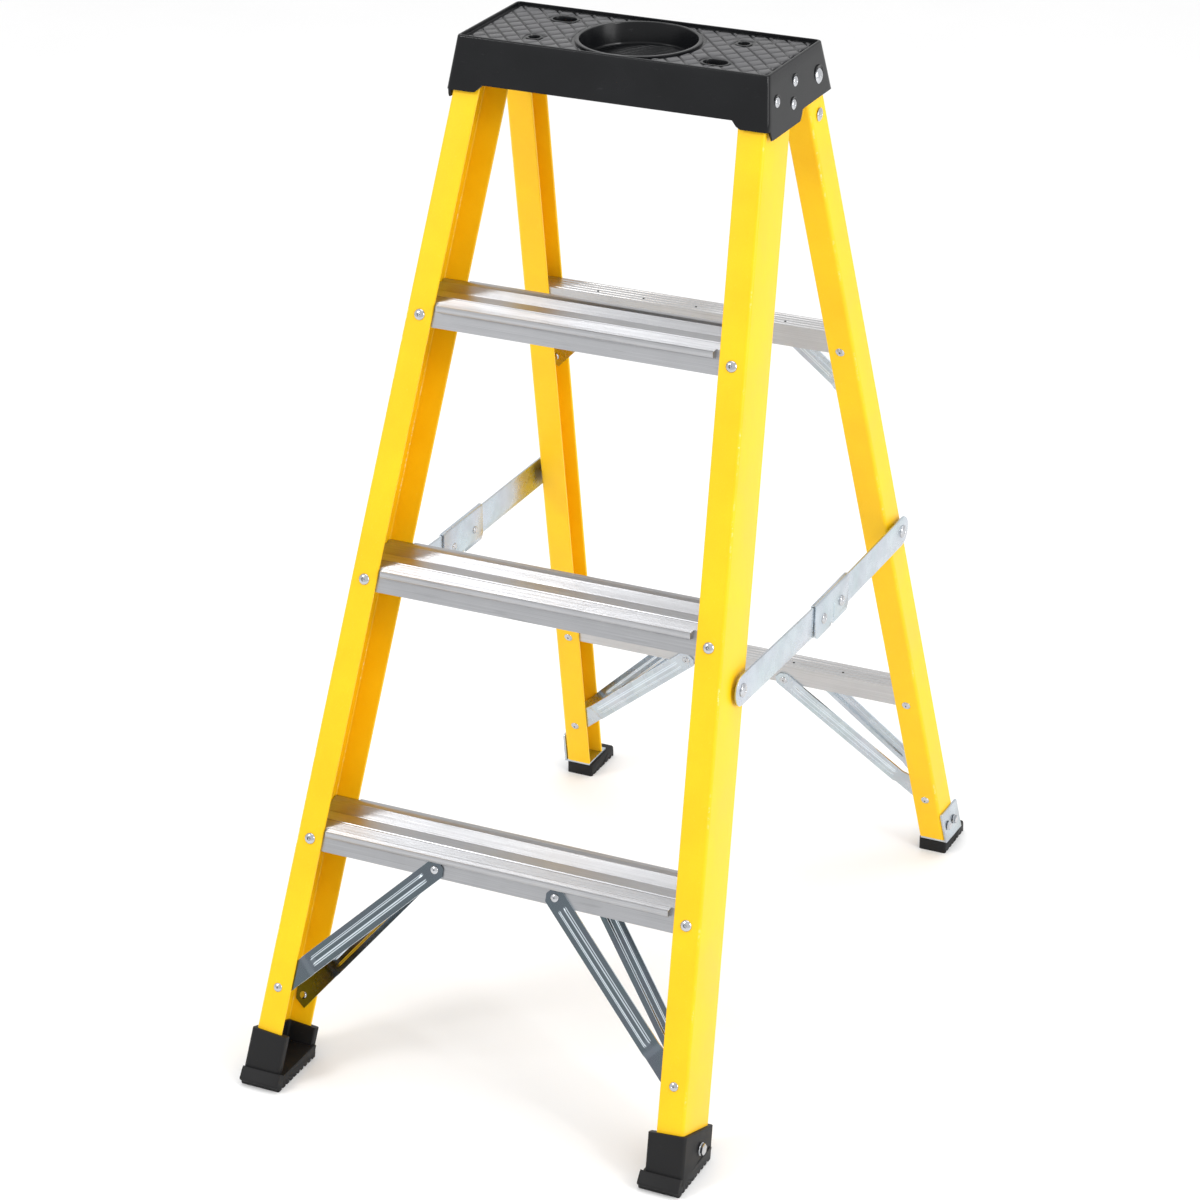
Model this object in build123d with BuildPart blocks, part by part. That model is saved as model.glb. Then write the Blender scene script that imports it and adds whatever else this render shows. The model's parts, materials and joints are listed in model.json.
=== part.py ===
"""Fibreglass platform step ladder with three aluminium treads and a moulded top cap.

Millimetres, +Z up, floor at Z = 0. The steps are climbed from -Y and the rear frame stands at
+Y. The origin is on the floor, in the middle of the standing ladder's footprint.
"""
from build123d import *
import os
from math import atan, atan2, cos, degrees, hypot, radians, sin, sqrt, tan

os.makedirs("parts", exist_ok=True)

# ---------------------------------------------------------------- driving sizes
cap_height = 1148.0            # floor to the rim of the top cap
pivot_drop = 36.5              # rim of the cap to the axis that the rear frame folds on
pivot_height = cap_height - pivot_drop
front_lean = radians(20.0)     # front rails, from the vertical
rear_lean = radians(17.3)      # rear rails, from the vertical
step_spacing = 304.8           # tread to tread along the front rails
first_step_height = 291.5      # floor to the top of the lowest tread
step_count = 3

front_half_floor = 273.5       # ladder centre to the outside of a front rail, at the floor
front_half_pivot = 186.2       # the same at the pivot height
rear_half_inset = 3.2          # rear rails narrower than the front ones, at the floor
rear_half_floor = front_half_floor - rear_half_inset
rear_half_pivot = 185.6

front_rail_depth = 75.2
front_flange = 32.3
rear_rail_depth = 41.0
rear_flange = 33.0
rail_wall = 3.5
rail_outer_radius = 4.0
rail_inner_radius = 2.0
seat_gap = 0.1                 # between pieces that are clamped together
running_gap = 0.05             # radial, round a pivot rivet
pivot_behind_front = 127.7     # pivot axis, square behind the front faces of the front rails
pivot_in_rear_rail = 27.5      # pivot axis, square behind the front face of a rear rail
rear_rail_above_pivot = 13.0

sheet = 1.8                    # zinc-plated braces and clips
tread_wall = 2.2
rivet_shank = 3.2              # radius

# ---------------------------------------------------------------- places worked out from them
shoe_wall = 4.5
shoe_lip = 4.5                 # bumper in front of the shoe
pad_length = 71.0
pad_toe = 3.5                  # pad in front of a rear rail's face

front_floor_y = -pivot_height * tan(front_lean)
pivot_y = pivot_behind_front / cos(front_lean)
rear_floor_y = pivot_y - pivot_in_rear_rail / cos(rear_lean) + pivot_height * tan(rear_lean)
toe_y = front_floor_y - shoe_wall / cos(front_lean) - shoe_lip
heel_y = rear_floor_y - pad_toe + pad_length
centre_shift = -(toe_y + heel_y) / 2
front_floor_y += centre_shift
rear_floor_y += centre_shift
pivot_y += centre_shift

front_taper = (front_half_floor - front_half_pivot) / pivot_height
rear_taper = (rear_half_floor - rear_half_pivot) / pivot_height


def front_y(z):
    """Front face of the front rails at a height."""
    return front_floor_y + z * tan(front_lean)


def rear_y(z):
    """Front face of the rear rails at a height."""
    return rear_floor_y - z * tan(rear_lean)


def front_half(z):
    """Outside of the front rails at a height."""
    return front_half_floor - z * front_taper


def rear_half(z):
    """Outside of the rear rails at a height."""
    return rear_half_floor - z * rear_taper


def front_web(y, z):
    """Outside of a front rail's web, which is square to the front plane."""
    up = (y - front_floor_y) * sin(front_lean) + z * cos(front_lean)
    return front_half_floor - up * front_taper * cos(front_lean)


def rear_web(y, z):
    """Outside of a rear rail's web, which is square to the rear plane."""
    up = z * cos(rear_lean) - (y - rear_floor_y) * sin(rear_lean)
    return rear_half_floor - up * rear_taper * cos(rear_lean)


# Frame planes: x to the right, y up the rails, z out of the front face.
front_plane = Plane(
    origin=(0, front_floor_y, 0), x_dir=(1, 0, 0), z_dir=(0, -cos(front_lean), sin(front_lean))
)
rear_plane = Plane(
    origin=(0, rear_floor_y, 0), x_dir=(1, 0, 0), z_dir=(0, -cos(rear_lean), -sin(rear_lean))
)


def up_front(z):
    """Distance up the front plane that reaches a height."""
    return z / cos(front_lean)


def up_rear(z):
    """Distance up the rear plane that reaches a height."""
    return z / cos(rear_lean)


def on_front(x, z, depth=0.0):
    """Place on the front frame, at a depth behind its face."""
    return front_plane.location * Location((x, up_front(z), -depth))


def on_rear(x, z, depth=0.0):
    """Place on the rear frame, at a depth behind its face."""
    return rear_plane.location * Location((x, up_rear(z), -depth))


def at(*positions):
    """Places that look along +X, for pins through the rails' webs."""
    return [Location(position, (0, 90, 0)) for position in positions]


def save(part, label):
    """Label a finished piece and write it."""
    part.label = label
    export_step(part, f"parts/{label}.step")


def save_pair(right, name):
    """Write a right-hand piece and its mirror image."""
    save(right, f"{name}_right")
    with BuildPart() as left:
        mirror(right, about=Plane.YZ)
    save(left.part, f"{name}_left")


# ---------------------------------------------------------------- fastener shapes
def domed_rivet(shank, grip, head_radius, head_height, tail_radius=0.0, tail_height=0.0):
    """Rivet with a domed head above Z = 0, a shank through the grip and, if asked, a button tail."""
    edge = head_height * 0.35
    rise = head_height - edge
    dome_radius = (head_radius**2 + rise**2) / (2 * rise)
    middle = head_radius / 2
    with BuildPart() as rivet:
        with BuildSketch(Plane.XZ):
            with BuildLine():
                Polyline((0, head_height), (0, 0), (head_radius, 0), (head_radius, edge))
                ThreePointArc(
                    (head_radius, edge),
                    (middle, head_height - dome_radius + sqrt(dome_radius**2 - middle**2)),
                    (0, head_height),
                )
            make_face()
        revolve(axis=Axis.Z)
        Cylinder(shank, grip, align=(Align.CENTER, Align.CENTER, Align.MAX))
        if tail_height:
            with Locations((0, 0, -grip)):
                Cone(
                    tail_radius * 0.7, tail_radius, tail_height,
                    align=(Align.CENTER, Align.CENTER, Align.MAX),
                )
    return rivet.part


def hex_bolt(shank, grip, across_flats, head_height):
    """Hexagon bolt: head above Z = 0, shank and end below."""
    with BuildPart() as bolt:
        with BuildSketch():
            RegularPolygon(across_flats / 2, 6, major_radius=False)
        extrude(amount=head_height)
        chamfer(bolt.faces().sort_by(Axis.Z)[-1].edges(), 0.6)
        with Locations((0, 0, -grip)):
            Cylinder(shank, grip, align=(Align.CENTER, Align.CENTER, Align.MIN))
    return bolt.part


def hex_nut(bore, across_flats, height):
    """Hexagon nut that hangs below Z = 0."""
    with BuildPart() as nut:
        with BuildSketch():
            RegularPolygon(across_flats / 2, 6, major_radius=False)
            Circle(bore, mode=Mode.SUBTRACT)
        extrude(amount=-height)
    return nut.part


def group(piece, places):
    """Copies of one fastener, as separate solids."""
    with BuildPart() as copies:
        with Locations(*places):
            add(piece)
    return copies.part


def both_sides(places_for_side):
    """Run a list maker for the right and the left side."""
    return [place for side in (1, -1) for place in places_for_side(side)]


# ---------------------------------------------------------------- fibreglass rails
def channel(depth, flange):
    """C section: web along y, flanges along x, front face on y = 0."""
    with BuildSketch() as section:
        with BuildLine():
            Polyline(
                (0, 0), (flange, 0), (flange, -rail_wall), (rail_wall, -rail_wall),
                (rail_wall, rail_wall - depth), (flange, rail_wall - depth), (flange, -depth), (0, -depth),
                close=True,
            )
        make_face()
        corners = section.vertices().group_by(Axis.X)
        fillet(corners[0], rail_outer_radius)
        fillet(corners[1], rail_inner_radius)
        fillet(section.vertices().group_by(Axis.X)[-1], rail_wall * 0.4)
    return section.sketch


def rail_plane(frame_plane, half_floor, taper, lean):
    """Section plane of a right-hand rail: x inward, y out of the front face, z up the rail."""
    splay = atan(taper * cos(lean))
    up = Vector(frame_plane.y_dir) * cos(splay) - Vector(1, 0, 0) * sin(splay)
    inward = Vector(-1, 0, 0) * cos(splay) - Vector(frame_plane.y_dir) * sin(splay)
    return Plane(origin=frame_plane.origin + Vector(half_floor, 0, 0), x_dir=inward, z_dir=up)


def web_plane(section_plane, outward):
    """Plane of a right-hand rail's web, a distance out of its outer face."""
    inward = Vector(section_plane.x_dir)
    return Plane(
        origin=section_plane.origin - inward * outward, x_dir=Vector(section_plane.y_dir), z_dir=-inward
    )


run_out = 80.0                 # spare length that the end cuts remove
front_rail_plane = rail_plane(front_plane, front_half_floor, front_taper, front_lean)
rear_rail_plane = rail_plane(rear_plane, rear_half_floor, rear_taper, rear_lean)

shoe_sole = 12.0
front_rail_bottom = shoe_sole + seat_gap
cap_deck_drop = 3.5            # knurled deck below the rim
cap_wall = 3.0
deck_underside = cap_height - cap_deck_drop - cap_wall
front_rail_top = deck_underside - 1.5

pad_height = 17.0
bracket_sheet = 3.0
rear_rail_bottom = pad_height + bracket_sheet + 2 * seat_gap

# fastener places on the front frame
step_heights = [first_step_height + i * step_spacing * cos(front_lean) for i in range(step_count)]
step_rivet_drop = 13.5
brace_rivet_drop = 16.5
brace_low_height = 110.5
rear_brace_low_height = 92.0
front_flange_centre = front_flange / 2
rear_flange_centre = rear_flange / 2
flange_hole = rivet_shank + running_gap


def step_rivet_places(side, depth):
    """Rivets that hold the treads' ends to a rail's flange."""
    return [
        on_front(side * (front_half(z) - front_flange_centre), z - step_rivet_drop, depth)
        for z in step_heights
    ]


def brace_low_place(side, z, depth):
    """Lower rivet of a step brace, on the centre of a front rail's flange."""
    return on_front(side * (front_half(z) - front_flange_centre), z, depth)


shoe_bolt_height = 28.0
shoe_bolt_y = front_y(shoe_bolt_height) + 46.0
shoe_bolt_shank = 4.0

# y behind the rim's front, height
cap_rivet_points = [(17.0, cap_height - 33.5), (70.0, cap_height - 24.5), (60.0, cap_height - 47.5)]
cap_rivet_shank = 2.4

spreader_front_y = front_y(505.0) + 54.0
spreader_front_z = 505.0
pivot_shank = 4.8

with BuildPart() as front_rail:
    with BuildSketch(front_rail_plane.offset(-run_out)):
        add(channel(front_rail_depth, front_flange))
    extrude(amount=up_front(cap_height) + 2 * run_out)
    split(bisect_by=Plane.XY.offset(front_rail_bottom), keep=Keep.TOP)
    split(bisect_by=Plane.XY.offset(front_rail_top), keep=Keep.BOTTOM)
    with Locations(*step_rivet_places(1, front_rail_depth / 2)):
        Cylinder(flange_hole, front_rail_depth + 2, mode=Mode.SUBTRACT)
    with Locations(brace_low_place(1, brace_low_height, 0)):
        Cylinder(flange_hole, 3 * rail_wall, mode=Mode.SUBTRACT)
    with Locations(brace_low_place(1, rear_brace_low_height, front_rail_depth)):
        Cylinder(flange_hole, 3 * rail_wall, mode=Mode.SUBTRACT)
    with Locations(*at((front_half(shoe_bolt_height), shoe_bolt_y, shoe_bolt_height))):
        Cylinder(shoe_bolt_shank + running_gap, 6 * rail_wall, mode=Mode.SUBTRACT)
    with Locations(*at((front_half(spreader_front_z), spreader_front_y, spreader_front_z))):
        Cylinder(flange_hole, 6 * rail_wall, mode=Mode.SUBTRACT)

# ---------------------------------------------------------------- top cap
cap_top_half = 186.6
cap_side_draft = 0.121         # outward per unit down
cap_front_top = front_y(pivot_height) + 0.6
cap_rear_top = cap_front_top + 153.0
cap_front_draft = 0.25
cap_rear_draft = 0.30
cap_skirt_tab = cap_height - 70.0          # lowest edge, round the front rails' outer corners
cap_skirt_end = cap_height - 59.0
cap_skirt_middle = cap_height - 50.5
cap_corner_radius = 4.0
skirt_clear = cap_skirt_tab - 18.0         # below the skirt, where its cuts run out


def cap_outline(z, inset):
    """Rectangle of the cap at a height: half width, front y and rear y."""
    drop = cap_height - z
    half = cap_top_half + drop * cap_side_draft - inset
    near = cap_front_top - drop * cap_front_draft + inset
    far = cap_rear_top + drop * cap_rear_draft - inset
    return half, near, far


def cap_section(z, inset, radius):
    """Rounded rectangle of the cap at a height."""
    half, near, far = cap_outline(z, inset)
    with BuildSketch(Plane.XY.offset(z)) as section:
        with Locations((0, (near + far) / 2)):
            RectangleRounded(2 * half, far - near, radius)
    return section.sketch


def cap_block(bottom, top, inset, radius):
    """Drafted block that follows the cap's outer faces."""
    with BuildPart() as block:
        add(cap_section(bottom, inset, radius))
        add(cap_section(top, inset, radius))
        loft()
    return block.part


cap_rim = 3.6
tray_radius = 71.0
tray_wall = 5.0
tray_rim_height = 2.0          # ring above the deck
tray_depth = 26.0
tray_centre_y = (cap_front_top + cap_rear_top) / 2
tool_hole_x = 110.0
large_hole_y = 41.5
small_hole_y = 37.0
small_hole_radius = 6.6
large_hole_length = 28.0
large_hole_width = 19.0
deck_top = cap_height - cap_deck_drop
pivot_washer_radius = 9.0
pivot_wall = 1.8               # what is left of the wall between the pivot's two seats
pivot_seat = cap_top_half + (cap_height - pivot_height) * cap_side_draft - 0.8
pivot_wall_inside = pivot_seat - pivot_wall

pad_low = cap_height - 63.0
pad_high = cap_height - 12.0
with BuildPart() as cap_pad:
    # moulded pads between the cap's side walls and the front rails
    with BuildSketch(Plane.YZ.offset(front_half_pivot - 12)):
        with BuildLine():
            Polyline(
                (front_y(pad_low) + 6, pad_low), (front_y(pad_low) + 74, pad_low),
                (front_y(pad_high) + 74, pad_high), (front_y(pad_high) + 6, pad_high), close=True,
            )
        make_face()
    extrude(amount=30)
    split(bisect_by=web_plane(front_rail_plane, seat_gap), keep=Keep.TOP)
    add(cap_block(pad_low - 5, pad_high + 4, 0.5, cap_corner_radius), mode=Mode.INTERSECT)

with BuildPart() as top_cap:
    add(cap_block(cap_skirt_tab, cap_height, 0, cap_corner_radius))
    add(cap_block(cap_skirt_tab - 1, deck_underside, cap_wall, 2.0), mode=Mode.SUBTRACT)
    with BuildSketch(Plane.XY.offset(deck_top)):
        half, near, far = cap_outline(deck_top, cap_rim)
        with Locations((0, (near + far) / 2)):
            RectangleRounded(2 * half, far - near, 2.0)
    extrude(amount=cap_deck_drop + 1, mode=Mode.SUBTRACT)
    with Locations((0, tray_centre_y, deck_top + tray_rim_height)):
        Cylinder(tray_radius, tray_depth + tray_rim_height, align=(Align.CENTER, Align.CENTER, Align.MAX))
    with Locations((0, tray_centre_y, deck_top + tray_rim_height)):
        Cylinder(
            tray_radius - tray_wall, tray_depth - cap_wall + tray_rim_height,
            align=(Align.CENTER, Align.CENTER, Align.MAX), mode=Mode.SUBTRACT,
        )
    for direction in (1, -1):
        with Locations((direction * tool_hole_x, tray_centre_y - direction * large_hole_y, deck_underside)):
            Box(large_hole_length - large_hole_width, large_hole_width, 30, mode=Mode.SUBTRACT)
        for end in (1, -1):
            offset_x = end * (large_hole_length - large_hole_width) / 2
            with Locations(
                (direction * tool_hole_x + offset_x, tray_centre_y - direction * large_hole_y, deck_underside)
            ):
                Cylinder(large_hole_width / 2, 30, mode=Mode.SUBTRACT)
        with Locations((direction * tool_hole_x, tray_centre_y + direction * small_hole_y, deck_underside)):
            Cylinder(small_hole_radius, 30, mode=Mode.SUBTRACT)
    # the skirt is cut higher between the corners and behind the front rails
    cut_top = cap_skirt_middle
    with BuildSketch(Plane.XZ.offset(-(cap_rear_top + 60))) as skirt_middle:
        with BuildLine():
            Polyline(
                (-152, skirt_clear), (-152, cap_skirt_end), (-146, cut_top), (146, cut_top),
                (152, cap_skirt_end), (152, skirt_clear), close=True,
            )
        make_face()
        fillet(skirt_middle.vertices().group_by(Axis.Y)[-1], 5)
    extrude(amount=300, mode=Mode.SUBTRACT)
    with BuildSketch(Plane.YZ.offset(-250)) as skirt_sides:
        tab_front = cap_front_top + 6
        tab_rear = cap_front_top + 74
        with BuildLine():
            Polyline(
                (cap_front_top - 60, skirt_clear), (cap_front_top - 60, cap_skirt_end),
                (tab_front, cap_skirt_end), (tab_front + 3, cap_skirt_tab), (tab_front + 3, skirt_clear),
                close=True,
            )
        make_face()
        with BuildLine():
            Polyline(
                (tab_rear, skirt_clear), (tab_rear, cap_skirt_tab), (tab_rear + 7, cap_skirt_end + 1),
                (cap_rear_top + 60, cap_skirt_end), (cap_rear_top + 60, skirt_clear), close=True,
            )
        make_face()
    extrude(amount=500, mode=Mode.SUBTRACT)
    add(cap_pad.part)
    mirror(cap_pad.part, about=Plane.YZ)
    # flat seats for the rivet heads and holes for the rivets and the pivot bolts
    for y_in, z in cap_rivet_points:
        for side in (1, -1):
            seat = cap_top_half + (cap_height - z) * cap_side_draft - 0.4
            with Locations(*at((side * (seat + 10), cap_front_top + y_in, z))):
                Cylinder(6.4, 20, mode=Mode.SUBTRACT)
            with Locations(*at((side * seat, cap_front_top + y_in, z))):
                Cylinder(cap_rivet_shank + running_gap, 20, mode=Mode.SUBTRACT)
    for side in (1, -1):
        with Locations(*at((side * (pivot_seat + 10), pivot_y, pivot_height))):
            Cylinder(10.0, 20, mode=Mode.SUBTRACT)
        with Locations(*at((side * (pivot_wall_inside - 10), pivot_y, pivot_height))):
            Cylinder(pivot_washer_radius + 0.6, 20, mode=Mode.SUBTRACT)
        with Locations(*at((side * pivot_seat, pivot_y, pivot_height))):
            Cylinder(pivot_shank + running_gap, 20, mode=Mode.SUBTRACT)
save(top_cap.part, "top_cap")

cap_backing_thickness = 2.0
with BuildPart() as front_rail_drilled:
    add(front_rail.part)
    for y_in, z in cap_rivet_points:
        with Locations(*at((front_half(z), cap_front_top + y_in, z))):
            Cylinder(cap_rivet_shank + running_gap, 6 * rail_wall, mode=Mode.SUBTRACT)
save_pair(front_rail_drilled.part, "front_rail")

# steel backing plate inside each front rail, under the cap rivets' tails
backing_face = -rail_wall - seat_gap
plate_low = cap_height - 56.0
plate_high = cap_height - 16.0
with BuildPart() as cap_backing:
    with BuildSketch(Plane.YZ.offset(front_half_pivot - 16)):
        with BuildLine():
            Polyline(
                (front_y(plate_low) + 9, plate_low), (front_y(plate_low) + 70, plate_low),
                (front_y(plate_high) + 70, plate_high), (front_y(plate_high) + 9, plate_high), close=True,
            )
        make_face()
    extrude(amount=30)
    split(bisect_by=web_plane(front_rail_plane, backing_face), keep=Keep.BOTTOM)
    split(bisect_by=web_plane(front_rail_plane, backing_face - cap_backing_thickness), keep=Keep.TOP)
    for y_in, z in cap_rivet_points:
        with Locations(*at((front_half(z), cap_front_top + y_in, z))):
            Cylinder(cap_rivet_shank + running_gap, 8 * rail_wall, mode=Mode.SUBTRACT)
save_pair(cap_backing.part, "cap_backing_plate")

with BuildPart() as cap_rivets:
    for y_in, z in cap_rivet_points:
        seat = cap_top_half + (cap_height - z) * cap_side_draft - 0.4
        web = front_web(cap_front_top + y_in, z)
        tail = web - rail_wall - cap_backing_thickness - 2 * seat_gap - 0.6
        for side in (1, -1):
            place = Location((side * seat, cap_front_top + y_in, z), (0, side * 90, 0))
            with Locations(place):
                add(domed_rivet(cap_rivet_shank, seat - tail, 6.0, 2.2, 4.2, 1.6))
save(cap_rivets.part, "cap_rivets")

# ---------------------------------------------------------------- treads
tread_end_gap = 1.2
skirt_face = rail_wall + seat_gap
rear_skirt_face = front_rail_depth - skirt_face
corner_nip = 4.4
quarter = Location((0, 0, 0), (0, 45, 0))
skirt_height = 24.0
front_nose = 6.5               # ahead of the rails' front faces
rear_nose = 80.2               # behind the rails' front faces
nose_height = 7.0
rib_pitch = 3.1
rib_height = 0.8
rib_zones = ((4.6, 20.2), (42.0, 68.0))
band_zone = (21.5, 39.5)
band_height = 0.9
rear_ridge = 2.2


def tread(z_top):
    """Extruded aluminium tread: level deck with leaning skirts that sit on the rails' flanges."""
    base = front_y(z_top)
    lean = tan(front_lean)
    inner = (rail_wall + seat_gap) / cos(front_lean)
    outer = (front_rail_depth - rail_wall - seat_gap) / cos(front_lean)
    wall_y = tread_wall / cos(front_lean)
    wall_back = tread_wall * lean
    foot_back = (skirt_height + tread_wall) * lean
    foot = z_top - skirt_height - tread_wall
    half = front_web(base + outer, z_top) - rail_wall - tread_end_gap
    nose_half = front_web(base + rear_nose, z_top) - front_flange - 3.0
    with BuildPart() as piece:
        with BuildSketch(Plane.YZ):
            with BuildLine():
                Polyline(
                    (base + inner, z_top), (base + outer, z_top), (base + outer - foot_back, foot),
                    (base + outer - wall_y - foot_back, foot),
                    (base + outer - wall_y - wall_back, z_top - tread_wall),
                    (base + inner + wall_y - wall_back, z_top - tread_wall),
                    (base + inner + wall_y - foot_back, foot), (base + inner - foot_back, foot), close=True,
                )
            make_face()
            for start, end in rib_zones:
                count = int((end - start) / rib_pitch)
                for i in range(count):
                    with Locations((base + start + (i + 0.5) * (end - start) / count, z_top)):
                        Trapezoid(rib_pitch * 0.62, rib_height, 60, align=(Align.CENTER, Align.MIN))
            with Locations((base + sum(band_zone) / 2, z_top)):
                Trapezoid(band_zone[1] - band_zone[0], band_height, 45, align=(Align.CENTER, Align.MIN))
        extrude(amount=half, both=True)
        with BuildSketch(Plane.YZ) as noses:
            with BuildLine():
                Polyline(
                    (base + inner + 1, z_top - tread_wall), (base - front_nose + 2, z_top - nose_height),
                    (base - front_nose, z_top - nose_height), (base - front_nose, z_top),
                    (base - front_nose + 1.5, z_top + 1.2), (base, z_top + 1.2),
                    (base + inner + 1, z_top), close=True,
                )
            make_face()
            with BuildLine():
                Polyline(
                    (base + outer - 6, z_top), (base + outer - 3, z_top + rear_ridge),
                    (base + rear_nose - 1, z_top + rear_ridge), (base + rear_nose, z_top + rear_ridge - 1),
                    (base + rear_nose, z_top - 4), (base + rear_nose - 1.5, z_top - 4),
                    (base + outer - 1, z_top - tread_wall), close=True,
                )
            make_face()
        extrude(amount=nose_half, both=True)
        with Locations(*both_sides(lambda side: step_rivet_places(side, front_rail_depth / 2))):
            Cylinder(flange_hole, front_rail_depth, mode=Mode.SUBTRACT)
        # the ends are nipped off to clear the rails' inner corners
        for side in (1, -1):
            for depth in (skirt_face, rear_skirt_face):
                with Locations(on_front(side * half, z_top - skirt_height / 2, depth) * quarter):
                    Box(corner_nip, 4 * skirt_height, corner_nip, mode=Mode.SUBTRACT)
    return piece.part


step_names = ("step_lower", "step_middle", "step_upper")
brace_upper_front_x = 75.0
brace_upper_rear_x = 100.0

for name, z_top in zip(step_names, step_heights):
    step_part = tread(z_top)
    if z_top == first_step_height:
        with BuildPart() as drilled:
            add(step_part)
            for side in (1, -1):
                with Locations(on_front(side * brace_upper_front_x, z_top - brace_rivet_drop, skirt_face)):
                    Cylinder(flange_hole, 3 * tread_wall, mode=Mode.SUBTRACT)
                drill = on_front(side * brace_upper_rear_x, z_top - brace_rivet_drop, rear_skirt_face)
                with Locations(drill):
                    Cylinder(flange_hole, 3 * tread_wall, mode=Mode.SUBTRACT)
        step_part = drilled.part
    save(step_part, name)

step_rivet = domed_rivet(rivet_shank, rail_wall + tread_wall + 2 * seat_gap, 6.7, 3.0, 5.0, 1.8)
back = Location((0, 0, 0), (180, 0, 0))
save(
    group(
        step_rivet,
        both_sides(lambda side: step_rivet_places(side, 0))
        + [place * back for place in both_sides(lambda side: step_rivet_places(side, front_rail_depth))],
    ),
    "step_rivets",
)

# ---------------------------------------------------------------- pressed braces
brace_width = 24.0
bead_width = 9.0
bead_height = 1.6
joggle_length = 5.0


def brace(frame_plane, top, bottom, upper_depth, lower_depth, flange_edge, outward):
    """Pressed strip from a skirt (top) to a flange (bottom), both (x, up) on the right-hand side.

    Depths are those of its front face behind the frame's face, and it is joggled from one to
    the other where it goes behind the flange, at x = flange_edge. Its bead stands outward.
    """
    length = hypot(bottom[0] - top[0], bottom[1] - top[1])
    angle = degrees(atan2(bottom[1] - top[1], bottom[0] - top[0]))
    over = 10.0
    run = (flange_edge - top[0]) / cos(radians(angle)) - brace_width / 2 - joggle_length - 7.0
    near = min(upper_depth, lower_depth)
    far = max(upper_depth, lower_depth) + sheet
    place = frame_plane.location * Location((top[0], top[1], 0)) * Location((0, 0, 0), (0, 0, angle))
    strip = Plane(place)

    lengths = (
        (-over, run, upper_depth, sheet),
        (run - joggle_length / 2, run + joggle_length / 2, near, far - near),
        (run, length + over, lower_depth, sheet),
    )
    with BuildPart() as piece:
        for start, end, front, thickness in lengths:
            with BuildSketch(strip.offset(-front)):
                with Locations(((start + end) / 2, 0)):
                    Rectangle(end - start, brace_width)
            extrude(amount=-thickness)
        bead_start = over + bead_width
        bead_end = run - joggle_length - bead_width
        face = upper_depth if outward > 0 else upper_depth + sheet
        with BuildSketch(strip.offset(-face)):
            with Locations(((bead_start + bead_end) / 2, 0)):
                SlotOverall(bead_end - bead_start + bead_width, bead_width)
        extrude(amount=outward * bead_height, taper=35)
        hollow = upper_depth + sheet if outward > 0 else upper_depth
        with BuildSketch(strip.offset(-hollow)):
            with Locations(((bead_start + bead_end) / 2, 0)):
                SlotOverall(bead_end - bead_start + bead_width - 3, bead_width - 3)
        extrude(amount=outward * bead_height, taper=35, mode=Mode.SUBTRACT)
        # trimmed corners at the skirt, and a lower end cut along the rail
        for end in (1, -1):
            with BuildSketch(strip.offset(1 - near)):
                with BuildLine():
                    Polyline(
                        (-over - 1, end * (brace_width / 2 - 7)), (-over + 7, end * (brace_width / 2 + 1)),
                        (-over - 1, end * (brace_width / 2 + 1)), close=True,
                    )
                make_face()
            extrude(amount=-(far - near + 2), mode=Mode.SUBTRACT)
        with BuildSketch(frame_plane.offset(1 - near)):
            with Locations((bottom[0] + 9.0 + 40, bottom[1])):
                Rectangle(80, 120)
        extrude(amount=-(far - near + 2), mode=Mode.SUBTRACT)
        with Locations(place, place * Location((length, 0, 0))):
            Cylinder(flange_hole, 4 * far, mode=Mode.SUBTRACT)
    return piece.part


def front_brace(top_x, low_height, upper_depth, lower_depth, outward):
    """Brace of the lowest tread on the right-hand side."""
    top = (top_x, up_front(first_step_height - brace_rivet_drop))
    low = (front_half(low_height) - front_flange_centre, up_front(low_height))
    return brace(
        front_plane, top, low, upper_depth, lower_depth, front_half(low_height + 12) - front_flange, outward
    )


save_pair(
    front_brace(brace_upper_front_x, brace_low_height, skirt_face - sheet - seat_gap, skirt_face, 1),
    "step_brace_front",
)
save_pair(
    front_brace(
        brace_upper_rear_x, rear_brace_low_height, rear_skirt_face + seat_gap,
        rear_skirt_face - sheet, -1,
    ),
    "step_brace_rear",
)

brace_rivet_skirt = domed_rivet(rivet_shank, sheet + tread_wall + 2 * seat_gap, 5.0, 2.2, 4.6, 1.6)
brace_rivet_flange = domed_rivet(rivet_shank, sheet + rail_wall + 2 * seat_gap, 5.4, 2.4, 4.6, 1.6)
brace_top_height = first_step_height - brace_rivet_drop
skirt_places = [
    on_front(side * brace_upper_front_x, brace_top_height, skirt_face - sheet - seat_gap) for side in (1, -1)
] + [
    on_front(side * brace_upper_rear_x, brace_top_height, rear_skirt_face + sheet + seat_gap) * back
    for side in (1, -1)
]
flange_places = [brace_low_place(side, brace_low_height, 0) for side in (1, -1)] + [
    brace_low_place(side, rear_brace_low_height, front_rail_depth) * back for side in (1, -1)
]
with BuildPart() as step_brace_rivets:
    with Locations(*skirt_places):
        add(brace_rivet_skirt)
    with Locations(*flange_places):
        add(brace_rivet_flange)
save(step_brace_rivets.part, "step_brace_rivets")

# ---------------------------------------------------------------- rubber shoes of the front rails
shoe_height = 63.0             # floor to the shoe's top, at its front
shoe_inner_wall = 3.5
sole_length = 86.5
bumper_bottom = 5.0
tooth_count = 9
tooth_depth = 2.6

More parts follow.
